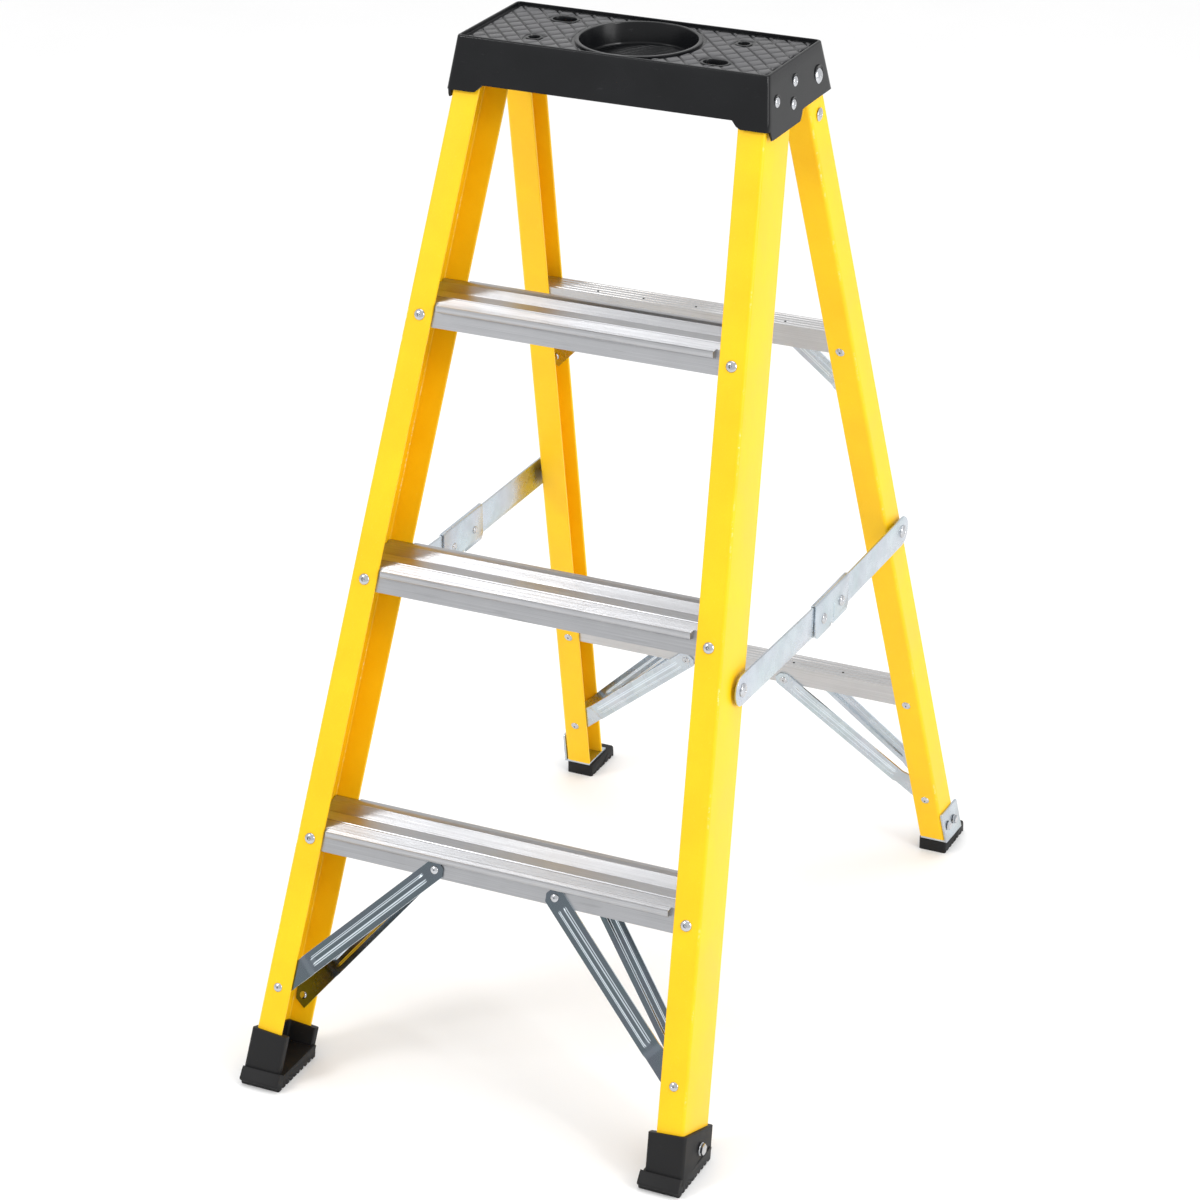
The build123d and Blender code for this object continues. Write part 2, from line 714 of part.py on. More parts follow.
with BuildPart() as front_shoe:
    with BuildSketch(front_rail_plane.offset(-run_out)):
        with Locations(((front_flange + shoe_wall) / 2 + 1.5, -front_rail_depth / 2)):
            RectangleRounded(front_flange + 2 * shoe_wall + 3, front_rail_depth + 2 * shoe_wall, 4.0)
    extrude(amount=run_out + up_front(shoe_height))
    # the rail's pocket and the open middle of the channel
    with BuildSketch(front_rail_plane.offset(-run_out)):
        with Locations(((front_flange + seat_gap) / 2, -front_rail_depth / 2)):
            Rectangle(front_flange + 3 * seat_gap, front_rail_depth + 2 * seat_gap)
        with Locations((
            rail_wall + (front_flange - rail_wall) / 2 + shoe_inner_wall / 2 + seat_gap,
            -front_rail_depth / 2,
        )):
            Rectangle(
                front_flange - rail_wall - shoe_inner_wall, front_rail_depth - 2 * rail_wall - 2 * seat_gap,
                mode=Mode.SUBTRACT,
            )
    extrude(amount=2 * run_out + up_front(shoe_height), mode=Mode.SUBTRACT)
    with BuildSketch(front_rail_plane.offset(-run_out)):
        with Locations((rail_wall + shoe_inner_wall + 2 * front_flange / 2, -front_rail_depth / 2)):
            Rectangle(2 * front_flange, front_rail_depth - 2 * rail_wall - 2 * shoe_inner_wall)
    extrude(amount=2 * run_out + up_front(shoe_height), mode=Mode.SUBTRACT)
    split(bisect_by=Plane.XY.offset(shoe_sole), keep=Keep.TOP)
    # sole: a solid floor with teeth across it and a bumper in front
    near = front_y(0) - shoe_wall / cos(front_lean)
    far = near + sole_length
    left = front_half(shoe_sole) - front_flange - shoe_wall - 3.5
    right = front_half(shoe_sole) + shoe_wall
    with BuildSketch():
        with Locations(((left + right) / 2, (near + far) / 2)):
            RectangleRounded(right - left, far - near, 4.0)
    extrude(amount=shoe_sole)
    with BuildSketch(Plane.XY.offset(bumper_bottom)):
        with Locations(((left + right) / 2, near - shoe_lip + 8)):
            RectangleRounded(right - left, 16, 4.0)
    extrude(amount=shoe_sole - bumper_bottom)
    tooth_pitch = (far - near - 8) / tooth_count
    with BuildSketch(Plane.YZ.offset(left - 5)):
        for i in range(tooth_count):
            with Locations((near + 4 + (i + 0.5) * tooth_pitch, 0)):
                Trapezoid(tooth_pitch * 0.5, tooth_depth, 70, align=(Align.CENTER, Align.MIN))
    extrude(amount=right - left + 10, mode=Mode.SUBTRACT)
    with Locations(*at((front_half(shoe_bolt_height), shoe_bolt_y, shoe_bolt_height))):
        Cylinder(shoe_bolt_shank + running_gap, 12 * rail_wall, mode=Mode.SUBTRACT)
save_pair(front_shoe.part, "front_shoe")

shoe_bolt_web = front_web(shoe_bolt_y, shoe_bolt_height)
shoe_bolt_seat = shoe_bolt_web + shoe_wall + 0.8
shoe_bolt_inner = shoe_bolt_web - rail_wall - shoe_inner_wall - 0.8
with BuildPart() as shoe_bolts:
    for side in (1, -1):
        with Locations(Location((side * shoe_bolt_seat, shoe_bolt_y, shoe_bolt_height), (0, side * 90, 0))):
            add(hex_bolt(shoe_bolt_shank, shoe_bolt_seat - shoe_bolt_inner + 7, 12.0, 4.5))
save(shoe_bolts.part, "shoe_bolts")
with BuildPart() as shoe_nuts:
    for side in (1, -1):
        with Locations(Location((side * shoe_bolt_inner, shoe_bolt_y, shoe_bolt_height), (0, side * 90, 0))):
            add(hex_nut(shoe_bolt_shank + running_gap, 12.0, 5.0))
save(shoe_nuts.part, "shoe_nuts")

# ---------------------------------------------------------------- rear rails
spreader_rear_z = 498.0
spreader_rear_y = rear_y(spreader_rear_z) + 28.0
horizontal_tops = (784.0, 262.0)
horizontal_rivet_drop = 24.5
horizontal_skirt = 27.0
brace_pairs = (
    # x and height of the upper end, height of the lower end, and the face it lies behind
    (67.6, 84.0, "lower_front"),
    (85.0, 78.0, "lower_rear"),
    (100.0, 656.0, "upper"),
)
bracket_bolt_height = 40.0
bracket_bolt_ys = (12.5, 32.5)
bracket_bolt_shank = 3.2
rear_plate_point = (pivot_y + 7.0, pivot_height - 45.5)


def rear_rivet_places(side, depth):
    """Rivets that hold the horizontals' ends to a rear rail's flange."""
    return [
        on_rear(side * (rear_half(z) - rear_flange_centre), z - horizontal_rivet_drop, depth)
        for z in horizontal_tops
    ]


def rear_brace_low(side, z, depth):
    """Lower rivet of a rear brace, on the centre of a rear rail's flange."""
    return on_rear(side * (rear_half(z) - rear_flange_centre), z, depth)


with BuildPart() as rear_rail:
    with BuildSketch(rear_rail_plane.offset(-run_out)):
        add(channel(rear_rail_depth, rear_flange))
    extrude(amount=up_rear(cap_height) + 2 * run_out)
    split(bisect_by=Plane.XY.offset(rear_rail_bottom), keep=Keep.TOP)
    with BuildSketch(Plane.YZ) as rail_end:
        with Locations((pivot_y, pivot_height)):
            Rectangle(300, 400)
        with BuildSketch(Plane.YZ, mode=Mode.SUBTRACT) as kept_end:
            with Locations(Location((pivot_y, pivot_height), degrees(rear_lean))):
                with Locations((rear_rail_depth / 2 - pivot_in_rear_rail, rear_rail_above_pivot - 150)):
                    RectangleRounded(rear_rail_depth + 0.4, 300, 9)
    extrude(amount=400, mode=Mode.SUBTRACT)
    with Locations(*at((rear_half(pivot_height), pivot_y, pivot_height))):
        Cylinder(pivot_shank + running_gap, 6 * rail_wall, mode=Mode.SUBTRACT)
    with Locations(*at((rear_half(rear_plate_point[1]), *rear_plate_point))):
        Cylinder(rivet_shank + running_gap, 6 * rail_wall, mode=Mode.SUBTRACT)
    with Locations(*at((rear_half(spreader_rear_z), spreader_rear_y, spreader_rear_z))):
        Cylinder(rivet_shank + running_gap, 6 * rail_wall, mode=Mode.SUBTRACT)
    with Locations(*rear_rivet_places(1, rear_rail_depth / 2)):
        Cylinder(flange_hole, rear_rail_depth + 2, mode=Mode.SUBTRACT)
    for z in (brace_pairs[0][1],):
        with Locations(rear_brace_low(1, z, 0)):
            Cylinder(flange_hole, 3 * rail_wall, mode=Mode.SUBTRACT)
    for z in (brace_pairs[1][1], brace_pairs[2][1]):
        with Locations(rear_brace_low(1, z, rear_rail_depth)):
            Cylinder(flange_hole, 3 * rail_wall, mode=Mode.SUBTRACT)
    for y_in in bracket_bolt_ys:
        bolt_y = rear_y(bracket_bolt_height) + y_in
        with Locations(*at((rear_half(bracket_bolt_height), bolt_y, bracket_bolt_height))):
            Cylinder(bracket_bolt_shank + running_gap, 6 * rail_wall, mode=Mode.SUBTRACT)
save_pair(rear_rail.part, "rear_rail")

# steel plate inside each rear rail's top, under the pivot's tail
pivot_plate_thickness = 2.5
with BuildPart() as pivot_plate:
    with BuildSketch(Plane.YZ.offset(rear_half_pivot - 16)):
        with Locations(Location((pivot_y, pivot_height), degrees(rear_lean))):
            with Locations((rear_rail_depth / 2 - pivot_in_rear_rail, -23)):
                Rectangle(rear_rail_depth - 2 * rail_wall - 5, 66)
    extrude(amount=30)
    split(bisect_by=web_plane(rear_rail_plane, backing_face), keep=Keep.BOTTOM)
    split(bisect_by=web_plane(rear_rail_plane, backing_face - pivot_plate_thickness), keep=Keep.TOP)
    with Locations(*at((rear_half(pivot_height), pivot_y, pivot_height))):
        Cylinder(pivot_shank + running_gap, 8 * rail_wall, mode=Mode.SUBTRACT)
    with Locations(*at((rear_half(rear_plate_point[1]), *rear_plate_point))):
        Cylinder(rivet_shank + running_gap, 8 * rail_wall, mode=Mode.SUBTRACT)
save_pair(pivot_plate.part, "pivot_plate")

plate_seat = rear_web(*rear_plate_point) + 0.8
plate_tail = rear_web(*rear_plate_point) - rail_wall - pivot_plate_thickness - 2 * seat_gap - 0.8
with BuildPart() as pivot_plate_rivets:
    for side in (1, -1):
        with Locations(Location((side * plate_seat, *rear_plate_point), (0, side * 90, 0))):
            add(domed_rivet(rivet_shank, plate_seat - plate_tail, 7.8, 2.0, 4.6, 1.6))
save(pivot_plate_rivets.part, "pivot_plate_rivets")

# the two fixed pins that the rear frame folds on, and their spacer washers
pivot_web = rear_web(pivot_y, pivot_height)
pivot_inner = pivot_web - rail_wall - pivot_plate_thickness - 2 * seat_gap - 1.0
with BuildPart() as pivot_pins:
    for side in (1, -1):
        with Locations(Location((side * pivot_seat, pivot_y, pivot_height), (0, side * 90, 0))):
            add(domed_rivet(pivot_shank, pivot_seat - pivot_inner, 9.5, 4.0, 7.5, 3.0))
save(pivot_pins.part, "pivot_pins")

with BuildPart() as pivot_washers:
    washer_outer = pivot_wall_inside - seat_gap
    washer_inner = pivot_web + pivot_washer_radius * rear_taper + seat_gap
    for side in (1, -1):
        with Locations(Location((side * washer_outer, pivot_y, pivot_height), (0, side * 90, 0))):
            Cylinder(
                pivot_washer_radius, washer_outer - washer_inner,
                align=(Align.CENTER, Align.CENTER, Align.MAX),
            )
            Cylinder(
                pivot_shank + running_gap, washer_outer - washer_inner,
                align=(Align.CENTER, Align.CENTER, Align.MAX), mode=Mode.SUBTRACT,
            )
save(pivot_washers.part, "pivot_washers")

# ---------------------------------------------------------------- rear horizontals
horizontal_grooves = 5
groove_depth = 0.7


def horizontal(z_top):
    """Aluminium channel across the rear rails: grooved top, skirts behind both flanges."""
    base = rear_y(z_top)
    lean = tan(rear_lean)
    inner = (rail_wall + seat_gap) / cos(rear_lean)
    outer = (rear_rail_depth - rail_wall - seat_gap) / cos(rear_lean)
    wall_y = tread_wall / cos(rear_lean)
    foot = z_top - horizontal_skirt - tread_wall
    wall_back = tread_wall * lean
    foot_back = (horizontal_skirt + tread_wall) * lean
    half = rear_web(base + inner, z_top) - rail_wall - tread_end_gap
    with BuildPart() as piece:
        with BuildSketch(Plane.YZ):
            with BuildLine():
                Polyline(
                    (base + inner, z_top), (base + outer, z_top), (base + outer + foot_back, foot),
                    (base + outer + foot_back - wall_y, foot),
                    (base + outer + wall_back - wall_y, z_top - tread_wall),
                    (base + inner + wall_back + wall_y, z_top - tread_wall),
                    (base + inner + foot_back + wall_y, foot), (base + inner + foot_back, foot), close=True,
                )
            make_face()
            for i in range(horizontal_grooves):
                groove_y = base + inner + (i + 0.5) * (outer - inner) / horizontal_grooves
                with Locations((groove_y, z_top)):
                    Rectangle(1.2, 2 * groove_depth, mode=Mode.SUBTRACT)
        extrude(amount=half, both=True)
        with Locations(*both_sides(lambda side: rear_rivet_places(side, rear_rail_depth / 2))):
            Cylinder(flange_hole, rear_rail_depth, mode=Mode.SUBTRACT)
        for side in (1, -1):
            for depth in (skirt_face, rear_rail_depth - skirt_face):
                with Locations(on_rear(side * half, z_top - horizontal_skirt / 2, depth) * quarter):
                    Box(corner_nip, 4 * horizontal_skirt, corner_nip, mode=Mode.SUBTRACT)
        if z_top == min(horizontal_tops):
            drill_height = z_top - horizontal_rivet_drop
            for side in (1, -1):
                with Locations(on_rear(side * brace_pairs[0][0], drill_height, skirt_face)):
                    Cylinder(flange_hole, 3 * tread_wall, mode=Mode.SUBTRACT)
                with Locations(on_rear(side * brace_pairs[1][0], drill_height, rear_rail_depth - rail_wall)):
                    Cylinder(flange_hole, 3 * tread_wall, mode=Mode.SUBTRACT)
        else:
            for side in (1, -1):
                with Locations(
                    on_rear(
                        side * brace_pairs[2][0], z_top - horizontal_rivet_drop, rear_rail_depth - rail_wall
                    )
                ):
                    Cylinder(flange_hole, 3 * tread_wall, mode=Mode.SUBTRACT)
    return piece.part


save(horizontal(horizontal_tops[0]), "rear_horizontal_upper")
save(horizontal(horizontal_tops[1]), "rear_horizontal_lower")

with BuildPart() as rear_rivets:
    rear_rivet = domed_rivet(rivet_shank, rail_wall + tread_wall + 2 * seat_gap, 5.6, 1.8, 4.8, 1.8)
    with Locations(*both_sides(lambda side: rear_rivet_places(side, 0))):
        add(rear_rivet)
    far_places = both_sides(lambda side: rear_rivet_places(side, rear_rail_depth))
    with Locations(*[place * back for place in far_places]):
        add(rear_rivet)
save(rear_rivets.part, "rear_horizontal_rivets")


def rear_brace(top_x, top_height, low_height, upper_depth, lower_depth, outward):
    """Brace of the rear frame on the right-hand side."""
    top = (top_x, up_rear(top_height))
    low = (rear_half(low_height) - rear_flange_centre, up_rear(low_height))
    return brace(
        rear_plane, top, low, upper_depth, lower_depth, rear_half(low_height + 12) - rear_flange, outward
    )


rear_horizontal_face = rear_rail_depth - rail_wall - seat_gap
lower_top = horizontal_tops[1] - horizontal_rivet_drop
upper_top = horizontal_tops[0] - horizontal_rivet_drop
save_pair(
    rear_brace(
        brace_pairs[0][0], lower_top, brace_pairs[0][1], skirt_face - sheet - seat_gap, skirt_face, 1
    ),
    "rear_brace_lower_front",
)
save_pair(
    rear_brace(
        brace_pairs[1][0], lower_top, brace_pairs[1][1], rear_horizontal_face + seat_gap,
        rear_horizontal_face - sheet, -1,
    ),
    "rear_brace_lower_rear",
)
save_pair(
    rear_brace(
        brace_pairs[2][0], upper_top, brace_pairs[2][1], rear_horizontal_face + seat_gap,
        rear_horizontal_face - sheet, -1,
    ),
    "rear_brace_upper",
)

with BuildPart() as rear_brace_rivets:
    front_skirts = [
        on_rear(side * brace_pairs[0][0], lower_top, skirt_face - sheet - seat_gap) for side in (1, -1)
    ]
    rear_skirts = [
        on_rear(side * x, z, rear_horizontal_face + sheet + seat_gap) * back
        for side in (1, -1)
        for x, z in ((brace_pairs[1][0], lower_top), (brace_pairs[2][0], upper_top))
    ]
    with Locations(*(front_skirts + rear_skirts)):
        add(brace_rivet_skirt)
    front_flanges = [rear_brace_low(side, brace_pairs[0][1], 0) for side in (1, -1)]
    rear_flanges = [
        rear_brace_low(side, z, rear_rail_depth) * back
        for side in (1, -1)
        for z in (brace_pairs[1][1], brace_pairs[2][1])
    ]
    with Locations(*(front_flanges + rear_flanges)):
        add(brace_rivet_flange)
save(rear_brace_rivets.part, "rear_brace_rivets")

# ---------------------------------------------------------------- rear feet
pad_half_width = 18.0
pad_outer = rear_half(pad_height) + 0.5
pad_start = rear_y(0) - pad_toe
groove_count = 7

with BuildPart() as foot_pad:
    with BuildSketch():
        with Locations((pad_outer - pad_half_width, pad_start + pad_length / 2)):
            RectangleRounded(2 * pad_half_width, pad_length, 3.5)
    extrude(amount=pad_height)
    fillet(foot_pad.edges().filter_by(Axis.X).group_by(Axis.Y)[-1].sort_by(Axis.Z)[-1], 8)
    with BuildSketch(Plane.YZ.offset(pad_outer - 3 * pad_half_width)):
        for i in range(groove_count):
            with Locations((pad_start + (i + 0.5) * pad_length / groove_count, 0)):
                Trapezoid(4.6, 3.0, 70, align=(Align.CENTER, Align.MIN))
    extrude(amount=4 * pad_half_width, mode=Mode.SUBTRACT)
save_pair(foot_pad.part, "foot_pad")

bracket_top = 63.0
bracket_back = 9.0             # past the rail's rear face
with BuildPart() as foot_bracket:
    # the upright follows the web, the bottom plate lies under the rail
    with BuildSketch(Plane.YZ.offset(rear_half_floor - rear_flange - 30)):
        bottom = pad_height + seat_gap
        with BuildLine():
            Polyline(
                (rear_y(bottom), bottom), (rear_y(bracket_top), bracket_top),
                (rear_y(bracket_top) + rear_rail_depth / cos(rear_lean) + bracket_back, bracket_top),
                (rear_y(bottom) + rear_rail_depth / cos(rear_lean) + bracket_back, bottom), close=True,
            )
        make_face()
    extrude(amount=100)
    split(bisect_by=web_plane(rear_rail_plane, seat_gap), keep=Keep.TOP)
    split(bisect_by=web_plane(rear_rail_plane, seat_gap + bracket_sheet), keep=Keep.BOTTOM)
    with BuildSketch(Plane.XY.offset(bottom)):
        plate_right = rear_half(bottom) + seat_gap + bracket_sheet / 2
        plate_left = rear_half(bottom) - rear_flange
        plate_near = rear_y(bottom)
        plate_far = rear_y(bottom) + rear_rail_depth / cos(rear_lean) + bracket_back
        with Locations(((plate_left + plate_right) / 2, (plate_near + plate_far) / 2)):
            Rectangle(plate_right - plate_left, plate_far - plate_near)
    extrude(amount=bracket_sheet)
    for y_in in bracket_bolt_ys:
        bolt_y = rear_y(bracket_bolt_height) + y_in
        with Locations(*at((rear_half(bracket_bolt_height), bolt_y, bracket_bolt_height))):
            Cylinder(bracket_bolt_shank + running_gap, 6 * rail_wall, mode=Mode.SUBTRACT)
save_pair(foot_bracket.part, "foot_bracket")

foot_bolt_points = [
    (rear_web(rear_y(bracket_bolt_height) + y_in, bracket_bolt_height), rear_y(bracket_bolt_height) + y_in)
    for y_in in bracket_bolt_ys
]
foot_bolt_out = bracket_sheet + 0.8
foot_bolt_in = rail_wall + 0.8
with BuildPart() as foot_bolts:
    for web, y in foot_bolt_points:
        for side in (1, -1):
            head_at = (side * (web + foot_bolt_out), y, bracket_bolt_height)
            with Locations(Location(head_at, (0, side * 90, 0))):
                add(hex_bolt(bracket_bolt_shank, foot_bolt_out + foot_bolt_in + 6, 9.0, 3.6))
save(foot_bolts.part, "foot_bolts")
with BuildPart() as foot_nuts:
    for web, y in foot_bolt_points:
        for side in (1, -1):
            nut_at = (side * (web - foot_bolt_in), y, bracket_bolt_height)
            with Locations(Location(nut_at, (0, side * 90, 0))):
                add(hex_nut(bracket_bolt_shank + running_gap, 9.0, 4.0))
save(foot_nuts.part, "foot_nuts")

# ---------------------------------------------------------------- spreaders
bar_thickness = 2.5
bar_width = 37.0
spreader_stand_off = 3.0       # bars clear of the rails they cross
rails_half_front = front_web(spreader_front_y, spreader_front_z - bar_width / 2)
rails_half_rear = rear_web(spreader_rear_y, spreader_rear_z - bar_width / 2)
spreader_x = round(max(rails_half_front, rails_half_rear), 1) + spreader_stand_off
bar_centre_z = 497.5
clip_wall = 1.8
clip_gap = 0.3
clip_headroom = 1.2            # over the sloping front bar
knuckle_drop = 4.5             # knuckle pivots below the middle of the bars
knuckle_pitch = 54.5
front_knuckle_y = spreader_front_y + 233.6
rear_knuckle_y = front_knuckle_y + knuckle_pitch
knuckle_z = bar_centre_z - knuckle_drop
clip_over_front = 25.5
clip_over_rear = 21.5
clip_bottom = 474.0
pivot_head_radius = 8.0
pivot_head_height = 3.0
slide_gap = 0.3


def bar(start, end, pivots):
    """Flat bar from start to end, both (y, z), with round ends and a hole at each pivot."""
    length = hypot(end[0] - start[0], end[1] - start[1])
    tilt = degrees(atan2(end[1] - start[1], end[0] - start[0]))
    with BuildPart() as piece:
        with BuildSketch(Plane.YZ.offset(spreader_x)):
            with Locations(Location(((start[0] + end[0]) / 2, (start[1] + end[1]) / 2), tilt)):
                SlotOverall(length + bar_width, bar_width)
            with Locations(*pivots):
                Circle(rivet_shank + running_gap, mode=Mode.SUBTRACT)
        extrude(amount=bar_thickness)
        chamfer(piece.faces().filter_by(Axis.X).edges().filter_by(GeomType.LINE), 0.4)
    return piece.part


save_pair(
    bar(
        (spreader_front_y, spreader_front_z), (front_knuckle_y, bar_centre_z),
        [(spreader_front_y, spreader_front_z), (front_knuckle_y, knuckle_z)],
    ),
    "spreader_front_link",
)
save_pair(
    bar(
        (rear_knuckle_y, bar_centre_z), (spreader_rear_y, spreader_rear_z),
        [(rear_knuckle_y, knuckle_z), (spreader_rear_y, spreader_rear_z)],
    ),
    "spreader_rear_link",
)

clip_top = bar_centre_z + bar_width / 2 + clip_headroom + clip_wall
clip_inner = spreader_x - clip_gap - clip_wall
clip_outer = spreader_x + bar_thickness + clip_gap + clip_wall
clip_middle = (front_knuckle_y + rear_knuckle_y) / 2
with BuildPart() as clip:
    with BuildSketch(Plane.XZ.offset(-(front_knuckle_y - clip_over_front))) as clip_profile:
        with Locations(((clip_inner + clip_outer) / 2, (clip_bottom + clip_top) / 2)):
            Rectangle(clip_outer - clip_inner, clip_top - clip_bottom)
        fillet(clip_profile.vertices().group_by(Axis.Y)[-1], 2.0)
        with Locations(((clip_inner + clip_outer) / 2, (clip_bottom + clip_top) / 2 - clip_wall)):
            Rectangle(clip_outer - clip_inner - 2 * clip_wall, clip_top - clip_bottom, mode=Mode.SUBTRACT)
    extrude(amount=-(clip_over_front + knuckle_pitch + clip_over_rear))
    with BuildSketch(Plane.YZ.offset(clip_inner - 5)):
        with BuildLine():
            Polyline(
                (clip_middle - 4, clip_bottom - 1), (clip_middle, clip_bottom + 5),
                (clip_middle + 1.5, clip_bottom - 1), close=True,
            )
        make_face()
    extrude(amount=20, mode=Mode.SUBTRACT)
    fillet(
        clip.edges().filter_by(Axis.X).group_by(Axis.Y)[0].sort_by(Axis.Z)[0:2],
        9,
    )
    # pressed bead down the middle of the outer wall
    with BuildSketch(Plane.YZ.offset(clip_outer)):
        with Locations((clip_middle + 3, clip_bottom + 16)):
            SlotOverall(24, 3.2, rotation=90)
    extrude(amount=0.9, taper=30)
    with Locations(*at((spreader_x, front_knuckle_y, knuckle_z), (spreader_x, rear_knuckle_y, knuckle_z))):
        Cylinder(rivet_shank + running_gap, 30, mode=Mode.SUBTRACT)
save_pair(clip.part, "spreader_clip")

knuckle_grip = clip_outer - clip_inner + 2 * seat_gap
knuckle_rivet = domed_rivet(rivet_shank, knuckle_grip, 6.5, 2.6, 5.0, 1.6)
with BuildPart() as knuckle_rivets:
    for y in (front_knuckle_y, rear_knuckle_y):
        with Locations(Location((clip_outer + seat_gap, y, knuckle_z), (0, 90, 0))):
            add(knuckle_rivet)
save_pair(knuckle_rivets.part, "spreader_clip_rivets")

# front pivots: rivet through the bar, a spacer and the front rail's web
head_seat = spreader_x + bar_thickness + slide_gap
wedge = pivot_head_radius * front_taper + seat_gap
front_web_x = front_web(spreader_front_y, spreader_front_z)
with BuildPart() as spreader_front_pins:
    pin_grip = head_seat - (front_web_x - rail_wall - wedge)
    for side in (1, -1):
        with Locations(Location((side * head_seat, spreader_front_y, spreader_front_z), (0, side * 90, 0))):
            add(domed_rivet(rivet_shank, pin_grip, pivot_head_radius, pivot_head_height, 5.5, 1.8))
save(spreader_front_pins.part, "spreader_front_pins")


def spacers(web_x, y, z):
    """Washer between a rail's web and a bar, on each side."""
    start = web_x + wedge
    end = spreader_x - slide_gap
    with BuildPart() as piece:
        for side in (1, -1):
            with Locations(Location((side * end, y, z), (0, side * 90, 0))):
                Cylinder(pivot_head_radius, end - start, align=(Align.CENTER, Align.CENTER, Align.MAX))
                Cylinder(
                    rivet_shank + running_gap, end - start,
                    align=(Align.CENTER, Align.CENTER, Align.MAX), mode=Mode.SUBTRACT,
                )
    return piece.part


save(spacers(front_web_x, spreader_front_y, spreader_front_z), "spreader_front_spacers")

# rear pivots: the linkage is open here, so the rivet's head and shank stay in the bar and a
# shouldered stud stays on the rear rail
rear_web_x = rear_web(spreader_rear_y, spreader_rear_z)
with BuildPart() as rear_pin:
    pin_seat = spreader_x + bar_thickness + seat_gap
    with Locations(Location((pin_seat, spreader_rear_y, spreader_rear_z), (0, 90, 0))):
        add(domed_rivet(rivet_shank, bar_thickness + seat_gap, pivot_head_radius, pivot_head_height))
save_pair(rear_pin.part, "spreader_rear_pin")

with BuildPart() as rear_studs:
    stud_end = spreader_x - slide_gap
    collar = rear_web_x + wedge
    tail_seat = rear_web_x - rail_wall - wedge
    for side in (1, -1):
        with Locations(Location((side * stud_end, spreader_rear_y, spreader_rear_z), (0, side * 90, 0))):
            Cylinder(pivot_head_radius, stud_end - collar, align=(Align.CENTER, Align.CENTER, Align.MAX))
            Cylinder(rivet_shank, stud_end - tail_seat + 1.8, align=(Align.CENTER, Align.CENTER, Align.MAX))
        with Locations(Location((side * tail_seat, spreader_rear_y, spreader_rear_z), (0, side * 90, 0))):
            Cylinder(5.5, 1.8, align=(Align.CENTER, Align.CENTER, Align.MAX))
save(rear_studs.part, "spreader_rear_studs")
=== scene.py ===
"""Looks of the platform step ladder: fibreglass rails, aluminium treads, moulded cap."""

import json
import math
import random

import bmesh
import bpy
import numpy as np
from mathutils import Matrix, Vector
from mathutils.geometry import delaunay_2d_cdt


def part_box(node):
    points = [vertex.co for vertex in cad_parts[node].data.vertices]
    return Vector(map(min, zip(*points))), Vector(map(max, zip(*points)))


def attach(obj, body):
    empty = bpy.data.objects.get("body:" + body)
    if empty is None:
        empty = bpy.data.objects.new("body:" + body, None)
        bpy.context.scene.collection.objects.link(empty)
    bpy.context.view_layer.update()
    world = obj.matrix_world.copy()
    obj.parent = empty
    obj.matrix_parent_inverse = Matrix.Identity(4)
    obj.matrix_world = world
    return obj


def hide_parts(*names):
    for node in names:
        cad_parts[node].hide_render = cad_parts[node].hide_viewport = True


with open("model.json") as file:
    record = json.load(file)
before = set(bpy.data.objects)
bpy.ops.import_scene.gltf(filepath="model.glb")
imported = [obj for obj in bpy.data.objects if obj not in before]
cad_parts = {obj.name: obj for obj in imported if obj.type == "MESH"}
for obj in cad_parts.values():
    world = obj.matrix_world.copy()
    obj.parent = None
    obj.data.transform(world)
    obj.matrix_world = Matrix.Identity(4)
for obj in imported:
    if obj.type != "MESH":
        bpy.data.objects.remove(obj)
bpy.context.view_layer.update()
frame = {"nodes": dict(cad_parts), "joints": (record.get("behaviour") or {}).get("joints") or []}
MM = 0.001
random.seed(7)

# ------------------------------------------------------------ section sizes, mm
FRONT_DEPTH, FRONT_FLANGE = 75.2, 32.3
REAR_DEPTH, REAR_FLANGE = 41.0, 33.0
WALL = 3.5
SEAT = 0.1
END_GAP = 1.2
SKIRT_SEAT = WALL + SEAT
TREAD_WALL = 2.2
SHEET = 1.8


def vec(*values):
    return np.array(values, float)


def node_box(name):
    low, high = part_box(name)
    return vec(*low) / MM, vec(*high) / MM


# ------------------------------------------------------------ the two leaning frames
class Lean:
    """Plane of the front or rear frame: x to the right, y up the rails, z out of the front."""

    def __init__(self, upper, lower, edge_inset, depth, sign):
        # upper and lower are (half length, y, z) of the same corner of two cross pieces
        dx, dy, dz = (upper[i] - lower[i] for i in range(3))
        self.lean = math.atan2(abs(dy), dz)
        self.depth = depth
        up = vec(0, sign * math.sin(self.lean), math.cos(self.lean))
        out = vec(0, -math.cos(self.lean), sign * math.sin(self.lean))
        run = math.hypot(dy, dz)
        self.up, self.out = up, out
        self.slope = -dx / run
        self.splay = math.atan(self.slope)
        corner = vec(0, upper[1], upper[2])
        on_floor = corner - up * (corner[2] / up[2])
        shift = edge_inset / math.cos(self.lean)
        self.origin = vec(0, on_floor[1] - shift, 0)
        u = float(np.dot(corner - self.origin, up))
        self.half_floor = upper[0] + WALL + END_GAP + u * self.slope

    def point(self, x, u, depth=0.0):
        """x across, u up the slope and a depth behind the front face."""
        return self.origin + vec(x, 0, 0) + self.up * u - self.out * depth

    def y_at(self, z):
        return self.origin[1] + z * self.up[1] / self.up[2]

    def half(self, u):
        return self.half_floor - u * self.slope

    def web(self, y, z):
        """Outside of the web at a point given by y and z."""
        u = float(np.dot(vec(0, y, z) - self.origin, self.up))
        return self.half(u)

    def rail_axes(self):
        """Section axes of the right-hand rail: inward, out of the front face, up the rail."""
        inward = vec(-1, 0, 0) * math.cos(self.splay) - self.up * math.sin(self.splay)
        along = self.up * math.cos(self.splay) + vec(-1, 0, 0) * math.sin(self.splay)
        return inward, self.out, along


